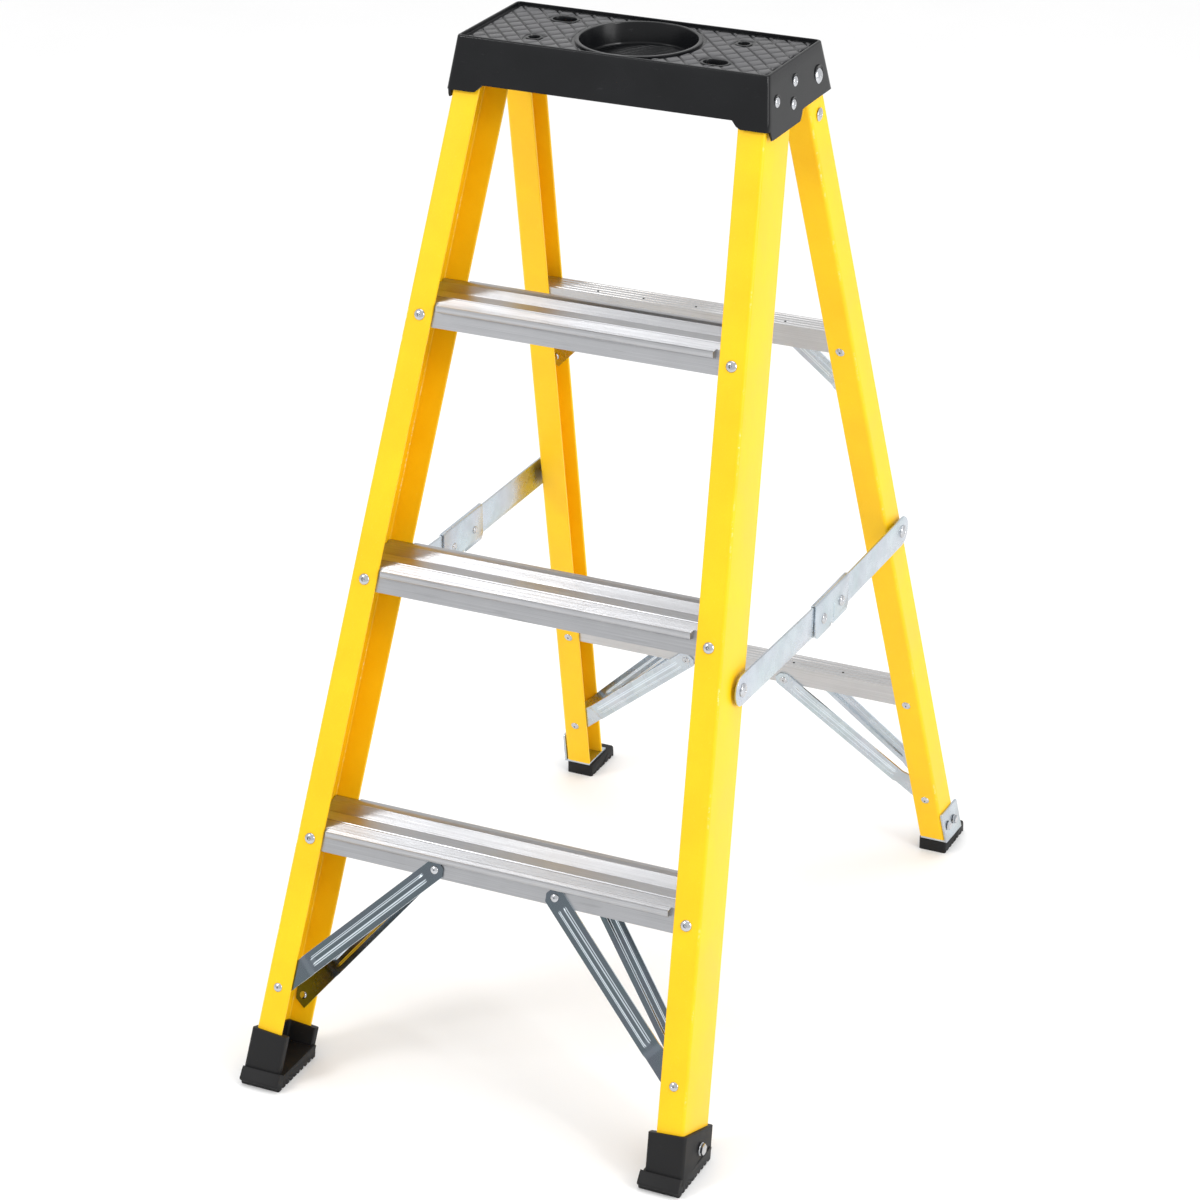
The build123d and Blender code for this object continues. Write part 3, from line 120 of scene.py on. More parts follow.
step_low, step_high = (node_box(n)[1] for n in ("step_lower", "step_upper"))
REAR_RIDGE = 2.2
REAR_NOSE = 80.2
# a tread's box reaches its rear nose and ridge, so the corner of its deck is found from those
front_slope = math.atan2(step_high[1] - step_low[1], step_high[2] - step_low[2])
rear_skirt_inset = FRONT_DEPTH - SKIRT_SEAT


def tread_corner(high):
    y_front_face = high[1] - REAR_NOSE
    return (high[0], y_front_face + rear_skirt_inset / math.cos(front_slope), high[2] - REAR_RIDGE)


front = Lean(tread_corner(step_high), tread_corner(step_low), rear_skirt_inset, FRONT_DEPTH, 1)

bar_high, bar_low = node_box("rear_horizontal_upper"), node_box("rear_horizontal_lower")
rear = Lean(
    (bar_high[1][0], bar_high[0][1], bar_high[1][2]),
    (bar_low[1][0], bar_low[0][1], bar_low[1][2]),
    SKIRT_SEAT, REAR_DEPTH, -1,
)


# ------------------------------------------------------------ mesh helpers
SPLIT_ANGLE = 38               # degrees; sharper edges get separate normals


def add_mesh(name, verts, faces, material, body, replaced=(), edge=None):
    """Mesh in millimetres that rides a body and stands for CAD nodes."""
    mesh = bpy.data.meshes.new(name)
    scaled_verts = [tuple(float(c) * MM for c in v) for v in verts]
    mesh.from_pydata(scaled_verts, [], [tuple(f) for f in faces])
    mesh.validate()
    work = bmesh.new()
    work.from_mesh(mesh)
    bmesh.ops.recalc_face_normals(work, faces=work.faces)
    work.to_mesh(mesh)
    work.free()
    if edge is not None and len(edge) == len(mesh.vertices):
        layer = mesh.attributes.new("edge", "FLOAT", "POINT")
        layer.data.foreach_set("value", np.array(edge, np.float32))
    obj = bpy.data.objects.new(name, mesh)
    bpy.context.scene.collection.objects.link(obj)
    mesh.materials.append(material)
    mesh.shade_smooth()
    split = obj.modifiers.new("Split", "EDGE_SPLIT")
    split.split_angle = math.radians(SPLIT_ANGLE)
    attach(obj, body)
    if replaced:
        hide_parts(*replaced)
    return obj


def bevel(obj, width, segments, angle):
    """Round an object's edges before its normals are split."""
    modifier = obj.modifiers.new("Round", "BEVEL")
    modifier.width = width * MM
    modifier.segments = segments
    modifier.limit_method = "ANGLE"
    modifier.angle_limit = math.radians(angle)
    modifier.use_clamp_overlap = True
    modifier.harden_normals = False
    with bpy.context.temp_override(object=obj):
        bpy.ops.object.modifier_move_to_index(modifier="Round", index=0)


class Build:
    """Collects the parts of one mesh."""

    def __init__(self):
        self.verts, self.faces, self.edge = [], [], []

    def add(self, verts, faces, edge=None):
        start = len(self.verts)
        self.verts += [vec(*v) for v in verts]
        self.faces += [[i + start for i in f] for f in faces]
        self.edge += list(edge) if edge is not None else [0.0] * len(verts)
        return self

    def rings(self, rings, cap_start=True, cap_end=True, edge=None):
        """Skin over closed rings that have the same number of points."""
        n = len(rings[0])
        verts = [p for ring in rings for p in ring]
        faces = []
        for k in range(len(rings) - 1):
            for i in range(n):
                j = (i + 1) % n
                faces.append([k * n + i, k * n + j, (k + 1) * n + j, (k + 1) * n + i])
        if cap_start:
            faces.append(list(range(n))[::-1])
        if cap_end:
            faces.append([(len(rings) - 1) * n + i for i in range(n)])
        return self.add(verts, faces, edge * len(rings) if edge is not None else None)

    def lathe(self, profile, centre, axis, segments=32, closed=False):
        """Turn (radius, height) pairs round an axis."""
        axis = np.array(axis, float) / np.linalg.norm(axis)
        side = np.cross(axis, vec(0, 0, 1) if abs(axis[2]) < 0.9 else vec(1, 0, 0))
        side /= np.linalg.norm(side)
        other = np.cross(axis, side)
        verts, faces, rows = [], [], []
        for radius, height in profile:
            if radius < 1e-6:
                rows.append([len(verts)] * segments)
                verts.append(centre + axis * height)
            else:
                row = []
                for i in range(segments):
                    a = 2 * math.pi * i / segments
                    row.append(len(verts))
                    spoke = side * math.cos(a) + other * math.sin(a)
                    verts.append(centre + axis * height + spoke * radius)
                rows.append(row)
        pairs = list(zip(rows, rows[1:] + rows[:1])) if closed else list(zip(rows, rows[1:]))
        for low, high in pairs:
            for i in range(segments):
                j = (i + 1) % segments
                loop = []
                for index in (low[i], low[j], high[j], high[i]):
                    if index not in loop:
                        loop.append(index)
                if len(loop) > 2:
                    faces.append(loop)
        return self.add(verts, faces)

    def make(self, name, material, body, replaced=(), slot=None):
        edge = self.edge if any(self.edge) else None
        return add_mesh(name, self.verts, self.faces, material, body, replaced, edge)


def between(first, last, steps):
    """Rings from first to last, evenly spaced."""
    return [[a + (b - a) * k / steps for a, b in zip(first, last)] for k in range(steps + 1)]


def rounded(points, radii, segments=5):
    """Polygon with its corners rounded to radii.

    Returns the points, and how near each is to the middle of a corner.
    """
    out, near = [], []
    n = len(points)
    for i in range(n):
        radius = radii[i] if hasattr(radii, "__len__") else radii
        p, a, b = (np.array(points[k], float) for k in (i, i - 1, (i + 1) % n))
        da, db = a - p, b - p
        la, lb = np.linalg.norm(da), np.linalg.norm(db)
        da, db = da / la, db / lb
        cos_angle = float(np.clip(np.dot(da, db), -1, 1))
        angle = math.acos(cos_angle)
        if radius < 1e-6 or angle > math.pi - 1e-3:
            out.append(p)
            near.append(0.0)
            continue
        cut = min(radius / math.tan(angle / 2), 0.49 * la, 0.49 * lb)
        radius = cut * math.tan(angle / 2)
        centre = p + (da + db) / np.linalg.norm(da + db) * (radius / math.sin(angle / 2))
        start, end = p + da * cut, p + db * cut
        a0 = math.atan2(*(start - centre)[::-1])
        a1 = math.atan2(*(end - centre)[::-1])
        turn = (a1 - a0 + math.pi) % (2 * math.pi) - math.pi
        for k in range(segments + 1):
            t = k / segments
            out.append(centre + radius * vec(math.cos(a0 + turn * t), math.sin(a0 + turn * t)))
            near.append(1.0 - abs(2 * t - 1))
    return out, near


def mirrored(build):
    """The left-hand twin of a build."""
    twin = Build()
    flip = vec(-1, 1, 1)
    twin.add([v * flip for v in build.verts], [f[::-1] for f in build.faces], build.edge)
    return twin


def pair(build, name, material, body, slot, bevel_by=None):
    """Make the right-hand piece and its left-hand twin. bevel_by is (width, segments, angle)."""
    for side, shape in (("right", build), ("left", mirrored(build))):
        home = body if body in ("ladder_frame", "rear_frame") else f"{body}_{side}"
        obj = shape.make(f"{name}_{side}_skin", material, home, [f"{name}_{side}"], slot)
        if bevel_by:
            bevel(obj, *bevel_by)


# ------------------------------------------------------------ materials
def srgb(*levels):
    """Linear colour from screen levels of 0 to 255."""
    linear = [((c / 255 + 0.055) / 1.055) ** 2.4 if c > 10 else c / 255 / 12.92 for c in levels]
    return (*linear, 1.0)


def shade(levels, share):
    """The same colour, darker or lighter."""
    return srgb(*[c * share for c in levels])


class Paint:
    """One node material, with a few short ways to wire it."""

    def __init__(self, name, color, metallic, roughness, specular=0.5):
        self.material = bpy.data.materials.new(name)
        self.material.use_nodes = True
        self.tree = self.material.node_tree
        self.shader = self.tree.nodes["Principled BSDF"]
        self.shader.inputs["Base Color"].default_value = color
        self.shader.inputs["Metallic"].default_value = metallic
        self.shader.inputs["Roughness"].default_value = roughness
        self.shader.inputs["Specular IOR Level"].default_value = specular
        self.position = self.tree.nodes.new("ShaderNodeTexCoord").outputs["Object"]
        self.height = None

    def node(self, kind, **values):
        made = self.tree.nodes.new(kind)
        for key, value in values.items():
            setattr(made, key, value)
        return made

    def link(self, a, b):
        self.tree.links.new(a, b)

    def stretched(self, scale):
        mapping = self.node("ShaderNodeMapping")
        mapping.inputs["Scale"].default_value = scale
        self.link(self.position, mapping.inputs["Vector"])
        return mapping.outputs["Vector"]

    def noise(self, scale, detail=3.0, rough=0.55, vector=None):
        made = self.node("ShaderNodeTexNoise")
        made.inputs["Scale"].default_value = scale
        made.inputs["Detail"].default_value = detail
        made.inputs["Roughness"].default_value = rough
        self.link(vector or self.position, made.inputs["Vector"])
        return made.outputs["Fac"]

    def spread(self, value, low, high, start=0.0, end=1.0):
        made = self.node("ShaderNodeMapRange")
        made.inputs["From Min"].default_value = low
        made.inputs["From Max"].default_value = high
        made.inputs["To Min"].default_value = start
        made.inputs["To Max"].default_value = end
        self.link(value, made.inputs["Value"])
        return made.outputs["Result"]

    def feed(self, socket, value):
        """Set a socket to a constant, or link another socket to it."""
        if isinstance(value, (tuple, float, int)):
            socket.default_value = value
        else:
            self.link(value, socket)

    def mix(self, factor, first, second):
        made = self.node("ShaderNodeMix", data_type="RGBA", blend_type="MIX")
        # a mix node has its factor in socket 0 and its two colours in 6 and 7
        for index, value in ((0, factor), (6, first), (7, second)):
            self.feed(made.inputs[index], value)
        return made.outputs[2]

    def product(self, a, b):
        made = self.node("ShaderNodeMath", operation="MULTIPLY")
        self.feed(made.inputs[0], a)
        self.feed(made.inputs[1], b)
        return made.outputs[0]

    def base(self, color):
        self.link(color, self.shader.inputs["Base Color"])

    def rough(self, value):
        self.link(value, self.shader.inputs["Roughness"])

    def bump(self, height, strength, distance):
        made = self.node("ShaderNodeBump")
        made.inputs["Strength"].default_value = strength
        made.inputs["Distance"].default_value = distance * MM
        self.link(height, made.inputs["Height"])
        if self.height is not None:
            self.link(self.height, made.inputs["Normal"])
        self.height = made.outputs["Normal"]
        self.link(self.height, self.shader.inputs["Normal"])


def fibreglass():
    p = Paint("fibreglass_yellow", srgb(250, 198, 0), 0.0, 0.42, 0.35)
    grain = p.noise(1.0, 4, 0.6, p.stretched((900, 900, 26)))
    cloud = p.noise(14, 3)
    fleck = p.noise(420, 2, 0.7)
    tone = p.mix(p.spread(cloud, 0.3, 0.7), srgb(247, 192, 0), srgb(252, 202, 2))
    tone = p.mix(p.spread(fleck, 0.62, 0.8, 0, 0.25), tone, srgb(255, 220, 90))
    tone = p.mix(p.spread(grain, 0.45, 0.75, 0, 0.18), tone, srgb(236, 172, 0))
    wear_and_highlight = p.node("ShaderNodeAttribute", attribute_name="edge").outputs["Fac"]
    small = p.spread(p.noise(150, 5, 0.75), 0.50, 0.58)
    chips = p.product(small, p.spread(p.noise(16, 3), 0.50, 0.62))
    chips = p.product(p.spread(wear_and_highlight, 0.45, 0.9), chips)
    p.base(p.mix(p.product(chips, 0.75), tone, srgb(255, 232, 170)))
    p.rough(p.spread(cloud, 0.25, 0.75, 0.36, 0.50))
    p.bump(grain, 0.25, 0.12)
    p.bump(cloud, 0.12, 0.6)
    return p.material


def aluminium(name, color, stain, rough=(0.30, 0.44)):
    """Extruded metal with drawing lines along X."""
    p = Paint(name, srgb(*color), 1.0, 0.36)
    lines = p.noise(1.0, 4, 0.6, p.stretched((6, 1500, 1500)))
    wide = p.noise(1.0, 3, 0.6, p.stretched((14, 160, 160)))
    cloud = p.noise(28, 3)
    tone = p.mix(p.spread(lines, 0.35, 0.7), srgb(*color), shade(color, 0.90))
    tone = p.mix(p.spread(wide, 0.62, 0.82, 0, stain), tone, shade(color, 0.58))
    p.base(p.mix(p.spread(cloud, 0.4, 0.8, 0, 0.2), tone, shade(color, 0.82)))
    p.rough(p.spread(lines, 0.3, 0.75, *rough))
    p.shader.inputs["Anisotropic"].default_value = 0.4
    p.bump(lines, 0.22, 0.06)
    return p.material


def zinc(name, color, rough, iridescent=0.1, edges=False):
    p = Paint(name, srgb(*color), 1.0, rough)
    cloud = p.noise(40, 4)
    fine = p.noise(500, 2)
    tone = p.mix(p.spread(cloud, 0.35, 0.7), srgb(*color), shade(color, 0.92))
    tint = p.mix(p.spread(p.noise(22, 2), 0.3, 0.7), srgb(224, 208, 226), srgb(196, 222, 214))
    tone = p.mix(iridescent, tone, tint)
    if edges:
        # painted highlight: bright lines where the sheet is bent or cut
        wear_and_highlight = p.node("ShaderNodeAttribute", attribute_name="edge").outputs["Fac"]
        tone = p.mix(p.spread(wear_and_highlight, 0.25, 0.9), tone, srgb(216, 226, 234))
    p.base(tone)
    p.rough(p.spread(cloud, 0.3, 0.7, rough * 0.8, rough * 1.3))
    p.bump(fine, 0.10, 0.05)
    return p.material


def moulded(name, color, low, high, grain_scale, grain_depth, specular=0.3):
    """Black plastic or rubber with moulding grain and handling marks."""
    p = Paint(name, srgb(*color), 0.0, (low + high) / 2, specular)
    cloud = p.noise(11, 4, 0.6)
    grain = p.noise(grain_scale, 3, 0.6)
    scuff = p.noise(1.0, 5, 0.7, p.stretched((70, 30, 240)))
    tone = p.mix(p.spread(cloud, 0.3, 0.75), srgb(*color), shade(color, 1.35))
    p.base(p.mix(p.spread(scuff, 0.66, 0.80, 0, 0.22), tone, srgb(92, 92, 94)))
    p.rough(p.spread(cloud, 0.3, 0.7, low, high))
    p.bump(grain, 0.30, grain_depth)
    p.bump(cloud, 0.15, 0.9)
    return p.material


YELLOW = fibreglass()
TREAD = aluminium("tread_aluminium", (184, 185, 188), 0.40)
SKIRT = aluminium("rear_aluminium", (198, 198, 199), 0.35)
ZINC = zinc("galvanised_zinc", (190, 200, 208), 0.26, 0.15, True)
# darker copy of the zinc for the front braces: a painted dark reflection
ZINC_PAINTED_DARK_REFLECTION = zinc("brace_zinc", (84, 96, 104), 0.22, 0.08, True)
STEEL = zinc("rivet_steel", (196, 198, 202), 0.14, 0.0)
CAP = moulded("cap_plastic", (14, 15, 17), 0.16, 0.30, 900, 0.04, 0.24)
# lighter copy of the cap's black plastic: painted sheen on the pads' tops
PAD_PAINTED_SHEEN = moulded("cap_pad_plastic", (52, 52, 54), 0.24, 0.40, 900, 0.05, 0.5)
RUBBER = moulded("rubber", (20, 20, 21), 0.48, 0.66, 700, 0.08, 0.25)
PIT = moulded("pit_shadow", (14, 14, 15), 0.55, 0.7, 500, 0.05)


# ------------------------------------------------------------ rails
def channel_outline(depth, flange):
    """C section with its outer face at x = 0 and front at y = 0, in (inward, out) coordinates."""
    points = [
        (0, 0), (flange, 0), (flange, -WALL), (WALL, -WALL),
        (WALL, WALL - depth), (flange, WALL - depth), (flange, -depth), (0, -depth),
    ]
    return rounded(points, [4.0, 1.3, 1.3, 2.0, 2.0, 1.3, 1.3, 4.0], 6)


def cut_ring(lean, outline, normal, distance):
    """Section outline slid along the rail until it meets the plane normal . p = distance."""
    inward, out, along = lean.rail_axes()
    start = lean.origin + vec(lean.half_floor, 0, 0)
    ring = []
    for a, b in outline:
        p = start + inward * a + out * b
        ring.append(p + along * ((distance - np.dot(normal, p)) / np.dot(normal, along)))
    return ring


TOP_CORNER = 9.0               # rear rails' top corners are rounded, to swing under the cap's deck


def subdivided(outline, near, longest=1.5):
    """More points along the long sides of an outline."""
    out, out_near = [], []
    for k, (p, n) in enumerate(zip(outline, near)):
        q = np.array(outline[(k + 1) % len(outline)], float)
        p = np.array(p, float)
        count = max(1, int(np.linalg.norm(q - p) / longest))
        for i in range(count):
            out.append(p + (q - p) * i / count)
            out_near.append(n if i == 0 else 0.0)
    return out, out_near


def rail(lean, depth, flange, bottom, top, top_square=None):
    outline, near = channel_outline(depth, flange)
    # only the two outer corners wear
    near = [n if abs(p[0]) < 4.5 else 0.0 for p, n in zip(outline, near)]
    if top_square is not None:
        outline, near = subdivided(outline, near)
    level = vec(0, 0, 1)
    first = cut_ring(lean, outline, level, bottom)
    if top_square is None:
        last = cut_ring(lean, outline, level, top)
    else:
        along = lean.rail_axes()[2]
        last = cut_ring(lean, outline, along, float(np.dot(along, top_square)))
        for k, (_, b) in enumerate(outline):
            edge = max(0.0, TOP_CORNER - min(-b, depth + b))
            drop = TOP_CORNER - math.sqrt(max(0.0, TOP_CORNER ** 2 - edge ** 2))
            last[k] = last[k] - along * drop
    return Build().rings(between(first, last, 24), edge=near)


shoe_box = node_box("front_shoe_right")
rail_box = node_box("front_rail_right")
build = rail(front, FRONT_DEPTH, FRONT_FLANGE, rail_box[0][2], rail_box[1][2])
pair(build, "front_rail", YELLOW, "ladder_frame", slot="fibreglass")

pivot = vec(*[j for j in frame["joints"] if j["name"] == "rear_frame_fold"][0]["pos_m"]) / MM
rear_rail_box = node_box("rear_rail_right")
at_pivot = pivot * vec(0, 1, 1) + vec(rear.web(pivot[1], pivot[2]), 0, 0)
build = rail(rear, REAR_DEPTH, REAR_FLANGE, rear_rail_box[0][2], None, at_pivot + rear.up * 13.0)
pair(build, "rear_rail", YELLOW, "rear_frame", slot="fibreglass")


# ------------------------------------------------------------ treads
def extrude_x(build, outline, half):
    """Solid from a (y, z) outline, from -half to half."""
    rows = [[vec(x, y, z) for y, z in outline] for x in (-half, half)]
    return build.rings(rows)


RIB_PITCH, RIB_HEIGHT = 1.9, 0.55


def ribs(y0, y1, z):
    """Top line of fine ribs from y0 to y1, as (y, z) points."""
    count = max(1, round((y1 - y0) / RIB_PITCH))
    tip = z + RIB_HEIGHT
    step = (y1 - y0) / count
    line = []
    for i in range(count):
        y = y0 + i * step
        line += [(y, z), (y + step * 0.22, tip), (y + step * 0.62, tip), (y + step * 0.84, z)]
    return line + [(y1, z)]


NOSE = 6.5                     # how far a tread reaches in front of the rails
NOSE_CLEAR = 3.0               # between the nose's end and a rail's flange
TREAD_DROP = 26.2              # height of a tread's skirts
for name in ("step_lower", "step_middle", "step_upper"):
    high = node_box(name)[1]
    z = high[2] - REAR_RIDGE
    base = high[1] - REAR_NOSE
    lean = math.tan(front.lean)
    inner = SKIRT_SEAT / math.cos(front.lean)
    outer = (FRONT_DEPTH - SKIRT_SEAT) / math.cos(front.lean)
    wall = TREAD_WALL / math.cos(front.lean)
    foot = z - TREAD_DROP
    half = high[0]
    nose_half = front.web(high[1], z) - FRONT_FLANGE - NOSE_CLEAR
    build = Build()
    deck = [(base + inner, z)]
    deck += ribs(base + inner + 0.5, base + 20.5, z)
    deck += [(base + 21.6, z + 0.1), (base + 22.4, z + 1.1)]
    deck += [(base + 39.2, z + 1.1), (base + 40.2, z + 0.1)]
    deck += ribs(base + 41.5, base + 69.0, z)
    deck += [(base + 69.8, z + 0.1), (base + 72.2, z + 1.9), (base + outer, z + 1.9)]
    body_line = deck + [
        (base + outer - TREAD_DROP * lean, foot),
        (base + outer - wall - TREAD_DROP * lean, foot),
        (base + outer - wall - TREAD_WALL * lean, z - TREAD_WALL),
        (base + inner + wall - TREAD_WALL * lean, z - TREAD_WALL),
        (base + inner + wall - TREAD_DROP * lean, foot),
        (base + inner - TREAD_DROP * lean, foot),
    ]
    extrude_x(build, body_line, half)
    back = ribs(base - NOSE + 2.4, base + inner - 0.2, z)[::-1]
    nose_line = [(base + inner - 9.0 * lean, z - 9.0), (base + inner, z)] + back + [
        (base - NOSE + 1.6, z + 0.7), (base - NOSE + 0.5, z + 0.4), (base - NOSE, z - 0.8),
        (base - NOSE, z - 6.2), (base - NOSE + 0.9, z - 7.4), (base - NOSE + 2.4, z - 7.2),
    ]
    extrude_x(build, nose_line, nose_half)
    tail_line = [
        (base + outer, z + 1.9), (base + REAR_NOSE - 1.0, z + 1.9), (base + REAR_NOSE, z + 1.1),
        (base + REAR_NOSE, z - 3.4), (base + REAR_NOSE - 1.2, z - 4.6),
        (base + outer - 4.0 * lean, z - 4.0),
    ]
    extrude_x(build, tail_line, nose_half)
    build.make(name + "_skin", TREAD, "ladder_frame", [name], "aluminium")


# ------------------------------------------------------------ rear horizontals
def groove_line(y0, y1, z, count, width, depth):
    """Top line with grooves, as (y, z) points. width is half of a groove's."""
    line = [(y0, z)]
    for i in range(count):
        c = y0 + (i + 0.5) * (y1 - y0) / count
        line += [(c - width, z), (c - width * 0.5, z - depth)]
        line += [(c + width * 0.5, z - depth), (c + width, z)]
    return line + [(y1, z)]


PUNCH = [(0, 0.02), (0.9, 0.02), (1.25, 0.12), (1.5, 0.02), (1.5, -0.5)]
PUNCH_PLACES = (-0.72, -0.36, 0.05, 0.40, 0.74)
for name in ("rear_horizontal_upper", "rear_horizontal_lower"):
    low, high = node_box(name)
    z, foot = high[2], low[2]
    lean = math.tan(rear.lean)
    y0 = low[1]
    y1 = y0 + (REAR_DEPTH - 2 * SKIRT_SEAT) / math.cos(rear.lean)
    wall = TREAD_WALL / math.cos(rear.lean)
    drop = z - foot
    line = groove_line(y0, y1, z, 5, 0.9, 0.8) + [
        (y1 + drop * lean, foot), (y1 - wall + drop * lean, foot),
        (y1 - wall + TREAD_WALL * lean, z - TREAD_WALL),
        (y0 + wall + TREAD_WALL * lean, z - TREAD_WALL),
        (y0 + wall + drop * lean, foot), (y0 + drop * lean, foot),
    ]
    build = extrude_x(Build(), line, high[0])
    build.make(name + "_skin", SKIRT, "rear_frame", [name], "aluminium")
    marks = Build()
    for x in PUNCH_PLACES:
        spot = vec(x * high[0] * 0.8, y0 + 12.0, z)
        marks.lathe(PUNCH, spot, (0, 0, 1), 14)
    marks.make(name + "_punch_marks", PIT, "rear_frame")


# ------------------------------------------------------------ pressed braces
BRACE_WIDTH = 24.0
BEAD_HEIGHT = 1.7


def brace(lean, top, low, upper_depth, lower_depth, outward, end_cut):
    """Pressed strip: beaded and joggled, with trimmed upper corners and a cut lower end."""
    top, low = vec(*top), vec(*low)
    run = low - top
    length = float(np.linalg.norm(run))
    along = run / length
    across = vec(-along[1], along[0])
    edge_x = end_cut[0]
    joggle = (edge_x - top[0]) / along[0] - BRACE_WIDTH / 2 - 9.5
    bead_start, bead_end = 19.0, joggle - 12.0
    ts = [-12, -11.7, -8, -6.2, -5.2, -4.3, -3.2, -1.5, 0, 1.5, 3.2, 4.3, 5.2, 6.2, 8, 11.7, 12]
    stations = 90

    def limits(t):
        start = -10.0 + max(0.0, abs(t) - 5.0)
        # the lower end follows the rail: x stays at or under the end cut
        end = min(length + 10.0, (end_cut[1] - top[0] - across[0] * t) / along[0])
        return start, end

    def ramp(s, a, b):
        k = min(1.0, max(0.0, (s - a) / (b - a)))
        return k * k * (3 - 2 * k)

    def depth_at(s, t):
        depth = upper_depth + (lower_depth - upper_depth) * ramp(s, joggle - 3, joggle + 3)
        rise = ramp(s, bead_start - 5, bead_start + 1.5)
        ends = rise * (1 - ramp(s, bead_end - 1.5, bead_end + 5))
        shape = 1 - ramp(abs(t), 3.0, 5.6)
        return depth - outward * BEAD_HEIGHT * ends * shape

    faces, verts, painted_highlight = [], [], []
    skins = []
    for offset in (0.0, SHEET):
        rows = []
        for t in ts:
            start, end = limits(t)
            row = []
            for k in range(stations + 1):
                s = start + (end - start) * k / stations
                x, u = top + along * s + across * t
                row.append(len(verts))
                verts.append(lean.point(x, u, depth_at(s, t) + offset))
                # painted highlight mask: full on the bead's side walls, a little less on the long
                # cut edges
                on_bead = (
                    bead_start - 3 < s < bead_end + 3
                    and 3.0 < abs(t) < 5.3 and abs(abs(t) - 4.3) > 0.1
                )
                painted_highlight.append(1.0 if on_bead else 0.8 if abs(t) > 11.8 else 0.0)
            rows.append(row)
        skins.append(rows)
        for a, b in zip(rows, rows[1:]):
            for k in range(stations):
                faces.append([a[k], a[k + 1], b[k + 1], b[k]])
    one, two = skins
    for k in range(stations):
        faces.append([one[0][k], one[0][k + 1], two[0][k + 1], two[0][k]])
        faces.append([one[-1][k], one[-1][k + 1], two[-1][k + 1], two[-1][k]])
    for r in range(len(ts) - 1):
        faces.append([one[r][0], one[r + 1][0], two[r + 1][0], two[r][0]])
        faces.append([one[r][-1], one[r + 1][-1], two[r + 1][-1], two[r][-1]])
    return Build().add(verts, faces, painted_highlight)


def brace_between(lean, flange, upper_x, upper_z, lower_z, upper_depth, lower_depth, outward):
    """Brace whose upper rivet is at upper_x and whose lower one is in the middle of a flange."""
    u0 = upper_z / lean.up[2]
    u1 = lower_z / lean.up[2]
    low = (lean.half(u1) - flange / 2, u1)
    edge_x = lean.half(u1 + 12) - flange
    end_cut = (edge_x, low[0] + 9.0)
    return brace(lean, (upper_x, u0), low, upper_depth, lower_depth, outward, end_cut)


step_rivet_z = node_box("step_lower")[1][2] - REAR_RIDGE - 16.5
BAR_RIVET_DROP = 24.5
BRACES = {
    # name: frame, upper x, upper rivet z, lower rivet z, whether it is on the front skirt
    "step_brace_front": (front, 75.0, step_rivet_z, 110.5, True),
    "step_brace_rear": (front, 100.0, step_rivet_z, 92.0, False),
    "rear_brace_lower_front": (rear, 67.6, bar_low[1][2] - BAR_RIVET_DROP, 84.0, True),
    "rear_brace_lower_rear": (rear, 85.0, bar_low[1][2] - BAR_RIVET_DROP, 78.0, False),
    "rear_brace_upper": (rear, 100.0, bar_high[1][2] - BAR_RIVET_DROP, 656.0, False),
}
for name, (lean, x, upper_z, lower_z, on_front) in BRACES.items():
    if lean is front:
        # the front braces wear the darker zinc, a painted dark reflection
        flange, body, metal = FRONT_FLANGE, "ladder_frame", ZINC_PAINTED_DARK_REFLECTION
    else:
        flange, body, metal = REAR_FLANGE, "rear_frame", ZINC
    if on_front:
        upper_depth, lower_depth, outward = SKIRT_SEAT - SHEET - SEAT, SKIRT_SEAT, 1
    else:
        skirt = lean.depth - SKIRT_SEAT
        upper_depth, lower_depth, outward = skirt + SEAT, skirt - SHEET, -1
    build = brace_between(lean, flange, x, upper_z, lower_z, upper_depth, lower_depth, outward)
    pair(build, name, metal, body, slot="zinc_steel")


# ------------------------------------------------------------ fasteners
def solid_centres(name):
    """Middle and half size of each loose solid of a CAD node, in mm."""
    obj = frame["nodes"][name]
    work = bmesh.new()
    work.from_mesh(obj.data)
    bmesh.ops.remove_doubles(work, verts=work.verts, dist=1e-6)
    seen, groups = set(), []
    for start in work.verts:
        if start.index in seen:
            continue
        stack, found = [start], []
        seen.add(start.index)
        while stack:
            v = stack.pop()
            found.append(v.co.copy())
            for e in v.link_edges:
                o = e.other_vert(v)
                if o.index not in seen:
                    seen.add(o.index)
                    stack.append(o)
        co = np.array(found) / MM
        groups.append((co.min(0), co.max(0), co))
    work.free()
    return groups


COLLAR_SHARE = 0.97            # of the head's radius: points beyond it are on the collar
TAIL_HEIGHT = 1.7


def head_seat(points, radius, axis):
    """Middle of a fastener's outline, its head's radius, and where its widest collar starts."""
    along = points @ axis
    # the axis runs through the middle of the solid's own outline across it
    middle = points - np.outer(along, axis)
    centre = (middle.min(0) + middle.max(0)) / 2
    radial = np.linalg.norm(middle - centre, axis=1)
    radius = radius or float(radial.max())
    return centre, radius, float(along[radial > radius * COLLAR_SHARE].min())


